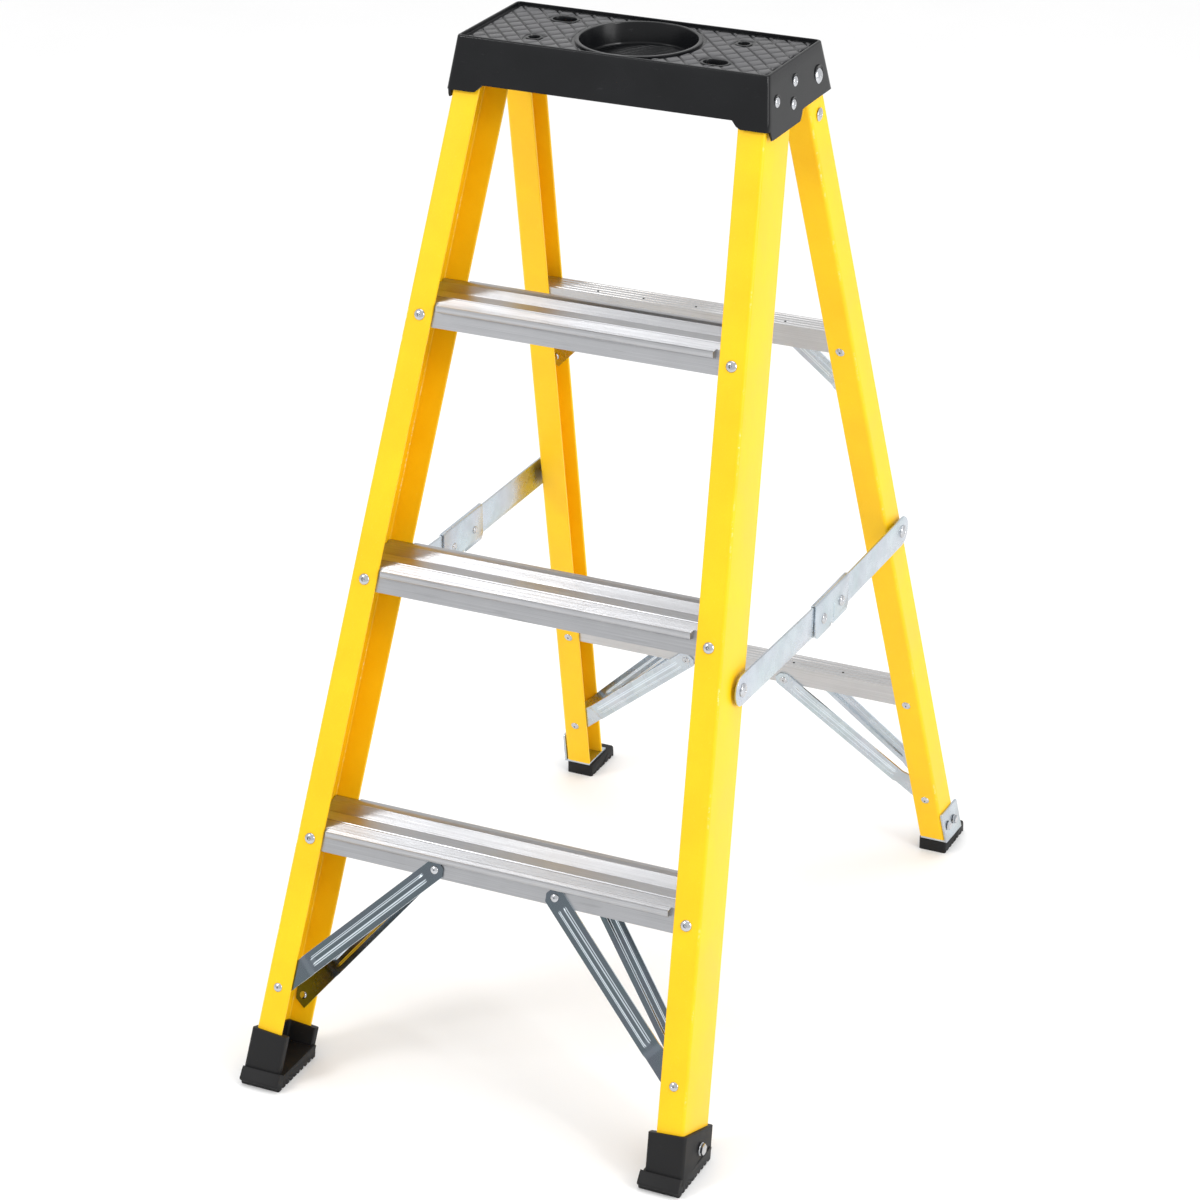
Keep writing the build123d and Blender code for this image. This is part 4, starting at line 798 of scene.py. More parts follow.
BUTTON = [
    (0.0, 2.30), (0.95, 2.28), (1.15, 1.35), (1.75, 1.25), (1.95, 2.10), (2.35, 2.86), (3.2, 2.72),
    (4.6, 2.25), (5.7, 1.55), (6.35, 0.85), (6.65, 0.35), (6.7, 0.0), (6.7, -0.12), (2.0, -0.12),
]
BLIND = [
    (0.0, 0.35), (0.75, 0.30), (0.95, 1.62), (1.25, 1.86), (1.75, 1.78), (2.6, 1.60), (3.8, 1.20),
    (4.7, 0.72), (5.05, 0.35), (5.1, 0.0), (5.1, -0.12), (1.0, -0.12),
]
FLAT = [
    (0.0, 0.45), (1.1, 0.40), (1.35, 1.15), (1.75, 1.42), (2.6, 1.40), (4.0, 1.18), (5.2, 0.72),
    (5.75, 0.30), (5.8, 0.0), (5.8, -0.12), (1.4, -0.12),
]
DOMED = [
    (0.0, 3.85), (1.6, 3.80), (2.2, 3.35), (3.1, 3.42), (4.4, 3.30), (6.2, 2.65), (7.9, 1.65),
    (8.9, 0.80), (9.35, 0.35), (9.5, 0.0), (9.5, -0.15), (3.0, -0.15),
]
TAIL = [
    (0.0, TAIL_HEIGHT), (1.2, TAIL_HEIGHT), (3.0, 1.55), (4.2, 1.0), (4.6, 0.3), (4.6, 0.0),
    (2.0, 0.0),
]


def scaled(profile, radius, height):
    r = max(p[0] for p in profile)
    h = max(p[1] for p in profile)
    return [(a * radius / r, b * height / h if b > 0 else b) for a, b in profile]


def rivet_group(node, body, axes, radius, head, tail=True, segments=28):
    """Rivets in place of a CAD node's solids. axes gives each solid's head direction.

    With a radius of None, each head is as wide as its own solid's.
    """
    build = Build()
    for low, high, points in solid_centres(node):
        axis = axes((low + high) / 2)
        centre, wide, seat = head_seat(points, radius, axis)
        along = points @ axis
        profile = scaled(head, wide, float(along.max()) - seat)
        build.lathe(profile, centre + axis * seat, axis, segments)
        if tail:
            tail_seat = float(along.min()) + TAIL_HEIGHT
            build.lathe(TAIL, centre + axis * tail_seat, -axis, 20)
    build.make(node + "_skin", STEEL, body, [node], "rivet_steel")


def frame_axis(lean):
    """Rivets through a frame's flanges: the head is on the outside."""

    def axis(middle):
        offset = float(np.dot(middle - lean.origin, -lean.out))
        return lean.out if offset < lean.depth / 2 else -lean.out

    return axis


def side_axis(middle):
    return vec(1 if middle[0] > 0 else -1, 0, 0)


rivet_group("step_rivets", "ladder_frame", frame_axis(front), 6.7, BUTTON)
rivet_group("cap_rivets", "ladder_frame", side_axis, 6.0, FLAT)
rivet_group("pivot_pins", "ladder_frame", side_axis, 9.5, DOMED, segments=40)
rivet_group("pivot_plate_rivets", "rear_frame", side_axis, 7.8, FLAT)
rivet_group("rear_horizontal_rivets", "rear_frame", frame_axis(rear), 5.6, BLIND)
rivet_group("spreader_front_pins", "ladder_frame", side_axis, 8.0, FLAT)
for side in ("right", "left"):
    rivet_group(f"spreader_clip_rivets_{side}", f"clip_{side}", side_axis, 6.5, FLAT)
    rivet_group(f"spreader_rear_pin_{side}", f"rear_link_{side}", side_axis, 8.0, FLAT, tail=False)
# the braces' heads are small on the skirts and larger on the flanges
rivet_group("step_brace_rivets", "ladder_frame", frame_axis(front), None, BLIND)
rivet_group("rear_brace_rivets", "rear_frame", frame_axis(rear), None, BLIND)


def hexagon(build, centre, axis, flats, low, high, chamfer=0.7, turn=0.3):
    """Hexagon prism with chamfered corners, from low to high along an axis."""
    axis = np.array(axis, float)
    side = np.cross(axis, vec(0, 0, 1))
    side /= np.linalg.norm(side)
    other = np.cross(axis, side)
    rows = []
    corner = flats / math.sqrt(3)
    for height, grow in ((low, 1.0), (high - chamfer * 0.7, 1.0), (high, 1 - chamfer / corner)):
        row = []
        for k in range(6):
            a = math.pi / 3 * k + turn
            spoke = side * math.cos(a) + other * math.sin(a)
            row.append(centre + axis * height + spoke * corner * grow)
        rows.append(row)
    return build.rings(rows)


THREAD_PITCH = 1.2


def bolt_group(kind, body, flats, head_height, washer):
    """Hexagon bolts through the rails, and their nuts."""
    build = Build()
    for low, high, points in solid_centres(kind + "_bolts"):
        axis = side_axis((low + high) / 2)
        along = points @ axis
        centre = (low + high) / 2 * vec(0, 1, 1)
        top = float(along.max())
        seat = centre + axis * (top - head_height)
        collar = [(0, 1.0), (washer - 0.5, 1.0), (washer, 0.6), (washer, -0.1), (2.0, -0.1)]
        build.lathe(collar, seat, axis, 32)
        hexagon(build, seat, axis, flats, 0.9, head_height, 0.8, random.uniform(0, 1))
        crown = [(0, 0), (flats * 0.30, 0), (flats * 0.33, -0.35)]
        build.lathe(crown, centre + axis * (top + 0.02), axis, 20)
        length = top - float(along.min())
        thread = [(0, head_height - length)]
        radius = min(flats / 3, 4.0 if flats > 10 else 3.2)
        for k in range(max(3, int((length - head_height) / THREAD_PITCH))):
            z = head_height - length + 0.3 + k * THREAD_PITCH
            thread += [(radius - 0.35, z), (radius, z + 0.6)]
        build.lathe(thread + [(radius - 0.3, 0)], seat, axis, 20)
    build.make(kind + "_bolts_skin", STEEL, body, [kind + "_bolts"], "zinc_steel")
    build = Build()
    for low, high, points in solid_centres(kind + "_nuts"):
        axis = side_axis((low + high) / 2)
        along = points @ axis
        centre = (low + high) / 2 * vec(0, 1, 1)
        thickness = float(along.max() - along.min())
        hexagon(build, centre + axis * float(along.max()), -axis, flats, 0, thickness)
    build.make(kind + "_nuts_skin", STEEL, body, [kind + "_nuts"], "zinc_steel")


bolt_group("shoe", "ladder_frame", 12.0, 4.5, 7.6)
bolt_group("foot", "rear_frame", 9.0, 3.6, 6.2)


# ------------------------------------------------------------ front shoes
def toothed(start, span, count, foot, tip, height):
    """Teeth of a sole along y, as (y, z) points. foot and tip are half widths of a gap."""
    line = []
    for i in range(count):
        c = start + (i + 0.5) * span / count
        line += [(c - foot, 0.0), (c - tip, height), (c + tip, height), (c + foot, 0.0)]
    return line


def eased(line, near, far, left, right, steps, insets):
    """Rows of a solid from left to right whose two ends draw in, in two steps."""
    middle = (near + far) / 2
    stations = [
        (left, insets[0]), (left + steps[0], insets[1]), (left + steps[1], 0.0),
        (right - steps[1], 0.0), (right - steps[0], insets[1]), (right, insets[0]),
    ]
    return [
        [vec(x, y + (inset if y < middle else -inset), z) for y, z in line]
        for x, inset in stations
    ]


SHOE_WALL = 4.5
SHOE_WEB = 7.0                 # wall of the socket inside the rail
SHOE_REACH = 40.8              # inner edge, from the web's outside
SOLE_NOSE, SOLE_LENGTH = 4.5, 86.5
outline, _ = rounded(
    [
        (-SHOE_WALL, SHOE_WALL), (SHOE_REACH, SHOE_WALL),
        (SHOE_REACH, -SHOE_WEB), (SHOE_WEB, -SHOE_WEB),
        (SHOE_WEB, SHOE_WEB - FRONT_DEPTH), (SHOE_REACH, SHOE_WEB - FRONT_DEPTH),
        (SHOE_REACH, -SHOE_WALL - FRONT_DEPTH), (-SHOE_WALL, -SHOE_WALL - FRONT_DEPTH),
    ],
    [5.0, 3.2, 2.0, 3.0, 3.0, 2.0, 3.2, 5.0], 6,
)
sole_top = 12.0
along = front.rail_axes()[2]
top_point = front.point(front.half(0), 0) + along * 66.0
build = Build()
first = cut_ring(front, outline, vec(0, 0, 1), sole_top - 1.0)
last = cut_ring(front, outline, along, float(np.dot(along, top_point)))
build.rings(between(first, last, 6))
near_y = shoe_box[0][1] + SOLE_NOSE
far_y = near_y + SOLE_LENGTH
sole_left = shoe_box[0][0]
sole_right = front.web(near_y + 40, sole_top) + SHOE_WALL
line = [(near_y, 0.0)] + toothed(near_y + 4, SOLE_LENGTH - 8, 9, 2.4, 1.7, 2.6)
line += [
    (far_y, 0.0), (far_y + 1.2, 6.0), (far_y + 1.6, 9.5), (far_y + 4.0, sole_top + 1.5),
    (far_y + 0.5, sole_top + 4.0), (near_y + 12, sole_top + 3.5), (near_y + 5.0, sole_top + 9.0),
    (near_y + 1.5, sole_top + 6.0), (near_y - 2.6, sole_top), (near_y - SOLE_NOSE, 10.0),
    (near_y - SOLE_NOSE, 7.5), (near_y - 1.5, 5.0),
]
build.rings(eased(line, near_y, far_y, sole_left, sole_right, (0.6, 1.8), (1.28, 0.48)))
pair(build, "front_shoe", RUBBER, "ladder_frame", slot="rubber", bevel_by=(1.1, 3, 40))

# ------------------------------------------------------------ rear feet
TOE = 8.0                      # radius of the pad's upper rear corner
pad_low, pad_high = node_box("foot_pad_right")
pad_near, pad_far, pad_top = pad_low[1], pad_high[1], pad_high[2]
line = [(pad_near, 0.0)] + toothed(pad_near, pad_far - pad_near, 7, 2.3, 1.4, 3.0)
line += [(pad_far, 0.0), (pad_far, 8.5)]
line += [
    (pad_far - TOE + TOE * math.cos(a), pad_top - TOE + TOE * math.sin(a))
    for a in (0.35, 0.8, 1.2, 1.57)
]
line += [(pad_near + 1.0, pad_top), (pad_near, pad_top - 1.5)]
rows = eased(line, pad_near, pad_far, pad_low[0], pad_high[0], (0.7, 2.2), (2.2, 0.8))
build = Build().rings(rows)
pair(build, "foot_pad", RUBBER, "rear_frame", slot="rubber", bevel_by=(0.7, 2, 40))

bracket_low, bracket_high = node_box("foot_bracket_right")
BRACKET = 3.0
zb, zt = bracket_low[2], bracket_high[2]


def on_web(y, z, outward):
    return vec(rear.web(y, z) + outward / math.cos(rear.splay), y, z)


def web_plate(points, inner, outer):
    return Build().rings([[on_web(y, z, d) for y, z in points] for d in (inner, outer)])


reach = REAR_DEPTH / math.cos(rear.lean) + 9.0
y_foot, y_top = rear.y_at(zb), rear.y_at(zt)
plate, _ = rounded(
    [(y_foot, zb), (y_foot + reach, zb), (y_top + reach, zt), (y_top, zt)],
    [0.0, 0.0, 3.0, 3.0], 5,
)
build = web_plate([tuple(p) for p in plate], SEAT, SEAT + BRACKET)
sole = [
    vec(x, y, z)
    for z in (zb, zb + BRACKET)
    for x, y in (
        (bracket_low[0], y_foot), (rear.web(y_foot, zb) + 1.6, y_foot),
        (rear.web(y_foot + reach, zb) + 1.6, y_foot + reach), (bracket_low[0], y_foot + reach),
    )
]
build.rings([sole[:4], sole[4:]])
pair(build, "foot_bracket", ZINC, "rear_frame", slot="zinc_steel", bevel_by=(0.6, 3, 40))


# ------------------------------------------------------------ spreaders
def plate_x(outline, x0, x1):
    return [[vec(x, y, z) for y, z in outline] for x in (x0, x1)]


def slot_outline(a, b, width, segments=14):
    """Round-ended bar from a to b, as (y, z) points."""
    a, b = vec(*a), vec(*b)
    d = (b - a) / np.linalg.norm(b - a)
    n = vec(-d[1], d[0])
    points = []
    for centre, start in ((b, 1.0), (a, -1.0)):
        for k in range(segments + 1):
            angle = math.pi * k / segments
            points.append(centre + (n * math.cos(angle) + d * math.sin(angle)) * start * width / 2)
    return [tuple(p) for p in points]


joint_at = {j["name"]: vec(*j["pos_m"]) / MM for j in frame["joints"] if "pos_m" in j}
link_low, link_high = node_box("spreader_front_link_right")
back_low, back_high = node_box("spreader_rear_link_right")
BAR = 37.0
a_point = joint_at["front_link_fold_right"][1:]
k1 = joint_at["clip_fold_right"][1:]
k2 = joint_at["rear_link_fold_right"][1:]
knuckle = vec(0, 4.5)
b_point = vec(back_high[1] - BAR / 2, 0.0)
b_point[1] = 2 * ((back_low[2] + back_high[2]) / 2) - (k2 + knuckle)[1]
build = Build().rings(plate_x(slot_outline(a_point, k1 + knuckle, BAR), link_low[0], link_high[0]))
pair(build, "spreader_front_link", ZINC, "front_link", slot="galvanised", bevel_by=(0.5, 3, 40))
build = Build().rings(plate_x(slot_outline(k2 + knuckle, b_point, BAR), back_low[0], back_high[0]))
pair(build, "spreader_rear_link", ZINC, "rear_link", slot="galvanised", bevel_by=(0.5, 3, 40))

clip_low, clip_high = node_box("spreader_clip_right")
CLIP = 1.8                     # the clip's sheet
BEND = 2.6                     # outer radius of its bends
x_in = clip_low[0]
x_out = link_high[0] + 0.3 + CLIP
y0, y1, zb, zt = clip_low[1], clip_high[1], clip_low[2], clip_high[2]
mid = (k1[0] + k2[0]) / 2
side_line, _ = rounded(
    [
        (y0, zt - 2.0), (y0, zb), (mid - 5, zb), (mid - 0.5, zb + 5), (mid + 2.2, zb),
        (y1 - 4, zb), (y1, zb + 6), (y1, zt - 2.0),
    ],
    [0, 10.0, 1.5, 1.5, 1.0, 2.0, 2.0, 0], 6,
)
side_line = [tuple(p) for p in side_line]
build = Build()
build.rings(plate_x(side_line, x_in, x_in + CLIP))
build.rings(plate_x(side_line, x_out - CLIP, x_out))
bend = []
for radius_shift in (0.0, CLIP):
    arc = []
    radius = BEND - radius_shift
    for x, turn in ((x_out - BEND, 0.0), (x_in + BEND, math.pi / 2)):
        for k in range(9):
            a = turn + math.pi / 2 * k / 8
            arc.append((x + radius * math.cos(a), zt - BEND + radius * math.sin(a)))
    bend.append(arc)
profile = bend[0] + bend[1][::-1]
build.rings([[vec(x, y, z) for x, z in profile] for y in (y0, y1)])
crease = [(mid + 4.4, zb + 2), (mid + 6.6, zb + 2), (mid + 6.6, zb + 25), (mid + 4.4, zb + 25)]
crease, _ = rounded(crease, 1.0, 4)
ridge = [
    vec(x_out + 0.55, mid + 5.5 + (y - mid - 5.5) * 0.45, zb + 13.5 + (z - zb - 13.5) * 0.95)
    for y, z in crease
]
build.rings([[vec(x_out - 0.2, y, z) for y, z in crease], ridge])
pair(build, "spreader_clip", ZINC, "clip", slot="galvanised", bevel_by=(0.35, 2, 40))

for node, body, slot_name in (
    ("spreader_front_spacers", "ladder_frame", "zinc_steel"),
    ("spreader_rear_studs", "rear_frame", "rivet_steel"),
    ("pivot_washers", "ladder_frame", "zinc_steel"),
):
    build = Build()
    for low, high, points in solid_centres(node):
        side = 1 if high[0] > 0 else -1
        centre = (low + high) / 2 * vec(0, 1, 1)
        inner, outer = sorted((abs(low[0]), abs(high[0])))
        radius = (high[1] - low[1]) / 2
        length = min(outer - inner, 3.2)
        face, axis = centre + vec(side * outer, 0, 0), vec(side, 0, 0)
        disc = [
            (2.5, 0), (radius - 0.4, 0), (radius, -0.4), (radius, -length + 0.4),
            (radius - 0.4, -length), (2.5, -length),
        ]
        build.lathe(disc, face, axis, 32)
        if outer - inner > length + 0.5:
            end = inner - outer
            shank = [(3.2, -length + 0.2), (3.2, end + 2.0), (5.5, end + 1.8), (5.0, end), (0, end)]
            build.lathe(shank, face, axis, 24)
    build.make(node + "_skin", STEEL, body, [node], slot_name)

# ------------------------------------------------------------ backing plates and pivot plates
for node in ("cap_backing_plate", "pivot_plate"):
    for side in ("right", "left"):
        old = frame["nodes"][f"{node}_{side}"]
        old.data.materials.clear()
        old.data.materials.append(ZINC)

# ------------------------------------------------------------ top cap
cap_low, cap_high = node_box("top_cap")
RIM = 3.6
CAP_WALL = 3.0
CAP_TOP = cap_high[2]
DECK_DROP = 4.4
DECK = CAP_TOP - DECK_DROP
SIDE_DRAFT, FRONT_DRAFT, REAR_DRAFT = 0.121, 0.25, 0.30
TAB_END = cap_low[2]
CAP_HALF = cap_high[0] - (CAP_TOP - TAB_END) * SIDE_DRAFT
SKIRT_END, SKIRT_MIDDLE = TAB_END + 11.0, TAB_END + 19.5
CAP_FRONT = front.y_at(pivot[2]) + 0.6
CAP_REAR = CAP_FRONT + 153.0
TRAY_Y = (CAP_FRONT + CAP_REAR) / 2
TRAY_RADIUS, TRAY_WALL = 71.0, 5.0
TAB_RUN = (9.0, 74.0)          # the side tab, measured from the cap's front
ARCH_HALF = 152.0              # the skirt is shorter within this of the middle


def cap_size(z, inset=0.0):
    drop = CAP_TOP - z
    return (
        CAP_HALF + drop * SIDE_DRAFT - inset, CAP_FRONT - drop * FRONT_DRAFT + inset,
        CAP_REAR + drop * REAR_DRAFT - inset,
    )


def cap_loop(z, inset, radius, per_side=(80, 36), corner=6, hem=False, sink=0.0):
    """Closed loop round the cap at a height. With hem, its points drop to the shaped lower edge."""
    half, near, far = cap_size(z, inset)
    corners = [(half, near), (half, far), (-half, far), (-half, near)]
    loop = []
    for i, (cx, cy) in enumerate(corners):
        sx, sy = (1 if cx > 0 else -1), (1 if cy == far else -1)
        centre = vec(cx - sx * radius, cy - sy * radius)
        a0 = {(1, -1): -90, (1, 1): 0, (-1, 1): 90, (-1, -1): 180}[(sx, sy)]
        for k in range(corner + 1):
            a = math.radians(a0 + 90 * k / corner)
            loop.append(centre + radius * vec(math.cos(a), math.sin(a)))
        nx, ny = corners[(i + 1) % 4]
        count = per_side[0] if i in (1, 3) else per_side[1]
        sx2, sy2 = (1 if nx > 0 else -1), (1 if ny == far else -1)
        if i in (1, 3):
            start, end = vec(cx - sx * radius, cy), vec(nx - sx2 * radius, ny)
        else:
            start, end = vec(cx, cy - sy * radius), vec(nx, ny - sy2 * radius)
        for k in range(1, count):
            loop.append(start + (end - start) * k / count)
    out = []
    for x, y in loop:
        if not hem:
            out.append(vec(x, y, z))
            continue
        if abs(abs(x) - half) < radius * 0.5 and y > near + radius * 0.4:
            # along the side: a tab hangs lower over the front rail
            run = y - CAP_FRONT
            start, end = TAB_RUN
            share = (start - run) / 3.0 if run <= start else (run - end) / 7.0
            low = TAB_END + (SKIRT_END - TAB_END) * min(1.0, max(0.0, share))
        else:
            k = min(1.0, max(0.0, (ARCH_HALF - abs(x)) / 6.0))
            low = SKIRT_END + (SKIRT_MIDDLE - SKIRT_END) * k
        half_low, near_low, far_low = cap_size(low + sink, inset)
        across = near_low + (y - near) * (far_low - near_low) / (far - near)
        out.append(vec(x * half_low / half, across, low + sink))
    return out


def shell_rows(z, inset, radius, sink, steps=5):
    top, low = cap_loop(z, inset, radius), cap_loop(z, inset, radius, hem=True, sink=sink)
    return between(top, low, steps)


# skirt: outside, rolled hem, inside, up to the deck's underside, and the rim over the top
outer = shell_rows(CAP_TOP - 1.6, 0.0, 5.0, 0.5)
inner = shell_rows(DECK - CAP_WALL, CAP_WALL, 2.6, 0.5)
rim_rows = [
    cap_loop(CAP_TOP - drop, inset, 5.0)
    for inset, drop in ((1.7, 0.0), (1.05, 0.1), (0.45, 0.5), (0.1, 1.05))
]
hem_rows = [
    cap_loop(CAP_TOP - 1.6, inset, 4.4, hem=True, sink=sink)
    for inset, sink in ((0.35, 0.1), (0.9, 0.0), (CAP_WALL - 0.9, 0.0), (CAP_WALL - 0.3, 0.15))
]
inside_rim = [
    cap_loop(z, inset, radius)
    for z, inset, radius in (
        (DECK, RIM + 0.5, 3.2), (DECK + 0.7, RIM, 3.2), (CAP_TOP - 0.7, RIM - 0.25, 3.2),
        (CAP_TOP - 0.2, RIM - 0.6, 3.4), (CAP_TOP, RIM - 1.1, 3.6),
    )
]
build = Build()
skin_rows = inside_rim + rim_rows + outer + hem_rows + inner[::-1]
build.rings(skin_rows, cap_start=False, cap_end=False)

# deck with holes: a border, then diamond pads between two families of grooves
deck_loop = cap_loop(DECK, RIM + 0.5, 3.2)
# length, width and distance from the tray's middle line
HOLE = {"large": (28.0, 19.0, 41.5), "small": (13.2, 13.2, 37.0)}
HOLE_X = 110.0


def hole_centre(kind, side):
    offset = HOLE[kind][2] * side
    return side * HOLE_X, TRAY_Y - offset if kind == "large" else TRAY_Y + offset


def hole_loop(kind, side, grow, segments=40):
    length, width = HOLE[kind][:2]
    cx, cy = hole_centre(kind, side)
    radius = width / 2 + grow
    reach = (length - width) / 2
    points = []
    for k in range(segments):
        a = 2 * math.pi * k / segments
        shift = reach if math.cos(a) >= 0 else -reach
        points.append((cx + radius * math.cos(a) + shift, cy + radius * math.sin(a)))
    return points


HOLES = [(kind, side) for kind in ("large", "small") for side in (1, -1)]
COLLAR = 3.2                   # raised ring round a hole
PAD_BORDER = 5.0
LINE_ANGLE = math.radians(50)
PITCH = 16.5                   # between two grooves of a family
STRIPS = 30                    # of each family, on either side of the tray's middle
PAD_RISE = 1.5
pad_half, pad_near, pad_far = cap_size(DECK, RIM + PAD_BORDER)


def clipped(poly, a, b, c):
    """Part of a polygon where a x + b y <= c."""
    out = []
    for i, p in enumerate(poly):
        q = poly[(i + 1) % len(poly)]
        dp, dq = a * p[0] + b * p[1] - c, a * q[0] + b * q[1] - c
        if dp <= 0:
            out.append(p)
        if (dp < 0 < dq) or (dq < 0 < dp):
            t = dp / (dp - dq)
            out.append((p[0] + (q[0] - p[0]) * t, p[1] + (q[1] - p[1]) * t))
    return out


def area(poly):
    return 0.5 * sum(p[0] * q[1] - q[0] * p[1] for p, q in zip(poly, poly[1:] + poly[:1]))


def shrunk(poly, by):
    """Convex polygon moved in on every side."""
    if area(poly) < 0:
        poly = poly[::-1]
    out = list(poly)
    for p, q in zip(poly, poly[1:] + poly[:1]):
        dx, dy = q[0] - p[0], q[1] - p[1]
        length = math.hypot(dx, dy)
        if length < 1e-6:
            continue
        nx, ny = dy / length, -dx / length
        out = clipped(out, nx, ny, nx * p[0] + ny * p[1] - by)
        if len(out) < 3:
            return []
    clean = []
    for p in out:
        if not clean or math.hypot(p[0] - clean[-1][0], p[1] - clean[-1][1]) > 0.05:
            clean.append(p)
    return clean if len(clean) > 2 and area(clean) > 4 else []


def clear_of(poly, centre_x, centre_y, reach, radius):
    """Cut a convex pad back from a round-ended zone by a tangent line through its nearest side."""
    cx = sum(p[0] for p in poly) / len(poly)
    cy = sum(p[1] for p in poly) / len(poly)
    along = min(reach, max(-reach, cx - centre_x))
    dx, dy = cx - (centre_x + along), cy - centre_y
    length = math.hypot(dx, dy)
    if length < 1e-6:
        return []
    dx, dy = dx / length, dy / length
    # a tangent line stays clear of the round zone on both sides of where it touches
    edge = dx * (centre_x + along) + dy * centre_y + radius
    if min(dx * p[0] + dy * p[1] for p in poly) < edge:
        poly = clipped(poly, -dx, -dy, -edge)
    return poly


pads = Build()
for i in range(-STRIPS, STRIPS):
    for j in range(-STRIPS, STRIPS):
        # strip i of one family and strip j of the other
        corners = []
        for di, dj in ((0, 0), (1, 0), (1, 1), (0, 1)):
            s, t = (i + di + 0.5) * PITCH, (j + dj + 0.5) * PITCH
            # the lines are x sin - y cos = s and x sin + y cos = t
            x = (s + t) / (2 * math.sin(LINE_ANGLE))
            corners.append((x, TRAY_Y + (t - s) / (2 * math.cos(LINE_ANGLE))))
        if all(abs(p[0]) > pad_half + 4 or not pad_near - 4 < p[1] < pad_far + 4 for p in corners):
            continue
        poly = corners
        for a, b, c in ((1, 0, pad_half), (-1, 0, pad_half), (0, -1, -pad_near), (0, 1, pad_far)):
            poly = clipped(poly, a, b, c)
        if len(poly) < 3:
            continue
        if min(math.hypot(p[0], p[1] - TRAY_Y) for p in poly) < TRAY_RADIUS + 12:
            poly = clear_of(poly, 0, TRAY_Y, 0, TRAY_RADIUS + 2.2)
        for kind, side in HOLES:
            if len(poly) < 3:
                break
            length, width = HOLE[kind][:2]
            radius = width / 2 + COLLAR + 1.2
            poly = clear_of(poly, *hole_centre(kind, side), (length - width) / 2, radius)
        if len(poly) < 3:
            continue
        base = shrunk(poly, 0.75)
        if not base:
            continue
        rings = []
        for inset, height in ((0.0, -0.3), (0.0, 0.0), (0.5, 0.75), (1.15, 1.25), (1.9, PAD_RISE)):
            ring = []
            middle = (sum(p[0] for p in base) / len(base), sum(p[1] for p in base) / len(base))
            reach = min(
                abs((q[0] - p[0]) * (middle[1] - p[1]) - (q[1] - p[1]) * (middle[0] - p[0]))
                / max(1e-6, math.hypot(q[0] - p[0], q[1] - p[1]))
                for p, q in zip(base, base[1:] + base[:1])
            )
            k = max(0.25, 1 - inset / max(reach, 2.2))
            for p in base:
                x, y = (m + (c - m) * k for c, m in zip(p, middle))
                ring.append(vec(x, y, DECK + height))
            rings.append(ring)
        pads.rings(rings, cap_start=True)

TRAY_SEGMENTS = 96
tray_loop = []
for k in range(TRAY_SEGMENTS):
    a = 2 * math.pi * k / TRAY_SEGMENTS
    tray_loop.append((TRAY_RADIUS * math.cos(a), TRAY_Y + TRAY_RADIUS * math.sin(a)))
loops = [[(p[0], p[1]) for p in deck_loop], tray_loop]
loops += [hole_loop(kind, side, COLLAR) for kind, side in HOLES]
points2, edges2 = [], []
for loop in loops:
    start = len(points2)
    points2 += loop
    edges2 += [(start + k, start + (k + 1) % len(loop)) for k in range(len(loop))]
triangulated = delaunay_2d_cdt([Vector(p) for p in points2], edges2, [], 0, 1e-5)
flat_points, flat_faces = triangulated[0], triangulated[2]


def inside_ring(x, y):
    if math.hypot(x, y - TRAY_Y) < TRAY_RADIUS - 0.01:
        return True
    for kind, side in HOLES:
        length, width = HOLE[kind][:2]
        cx, cy = hole_centre(kind, side)
        away = max(0.0, abs(x - cx) - (length - width) / 2)
        if math.hypot(away, y - cy) < width / 2 + COLLAR - 0.01:
            return True
    half, near, far = cap_size(DECK, RIM + 0.5)
    return abs(x) > half or not near < y < far


kept = []
for face in flat_faces:
    cx = sum(flat_points[i][0] for i in face) / len(face)
    cy = sum(flat_points[i][1] for i in face) / len(face)
    if not inside_ring(cx, cy):
        kept.append(list(face))
for level, flip in ((DECK, False), (DECK - CAP_WALL, True)):
    build.add([vec(p[0], p[1], level) for p in flat_points], [f[::-1] if flip else f for f in kept])
for kind, side in HOLES:
    rows = []
    for grow, z in (
        (COLLAR, DECK - CAP_WALL), (COLLAR, DECK), (COLLAR - 0.3, DECK + 0.7),
        (COLLAR - 0.9, DECK + 1.0), (0.8, DECK + 1.0), (0.25, DECK + 0.8), (0.0, DECK + 0.2),
        (0.0, DECK - CAP_WALL - 5.0), (1.8, DECK - CAP_WALL - 5.0), (COLLAR, DECK - CAP_WALL),
    ):
        rows.append([vec(x, y, z) for x, y in hole_loop(kind, side, grow)])
    build.rings(rows, cap_start=False, cap_end=False)

# round tray with a raised ring and a ribbed floor
ring_top = CAP_TOP - 1.5
tray_floor = ring_top - 26.0 - 2.0 + CAP_WALL
inner_radius = TRAY_RADIUS - TRAY_WALL
tray_centre = vec(0, TRAY_Y, 0)
profile = [
    (TRAY_RADIUS, DECK - CAP_WALL), (TRAY_RADIUS, DECK + 0.4), (TRAY_RADIUS - 0.2, ring_top - 0.8),
    (TRAY_RADIUS - 0.9, ring_top - 0.1), (TRAY_RADIUS - 1.8, ring_top),
    (inner_radius + 1.2, ring_top), (inner_radius + 0.4, ring_top - 0.3),
    (inner_radius, ring_top - 1.2), (inner_radius - 0.6, tray_floor + 2.6),
    (inner_radius - 1.4, tray_floor + 0.8), (inner_radius - 3.4, tray_floor), (0.0, tray_floor),
]
build.lathe(profile, tray_centre, (0, 0, 1), TRAY_SEGMENTS)
outside = [
    (0.0, tray_floor - CAP_WALL), (inner_radius - 1.6, tray_floor - CAP_WALL),
    (inner_radius + 1.2, tray_floor), (TRAY_RADIUS - 1.5, DECK - CAP_WALL - 3.0),
    (TRAY_RADIUS, DECK - CAP_WALL),
]
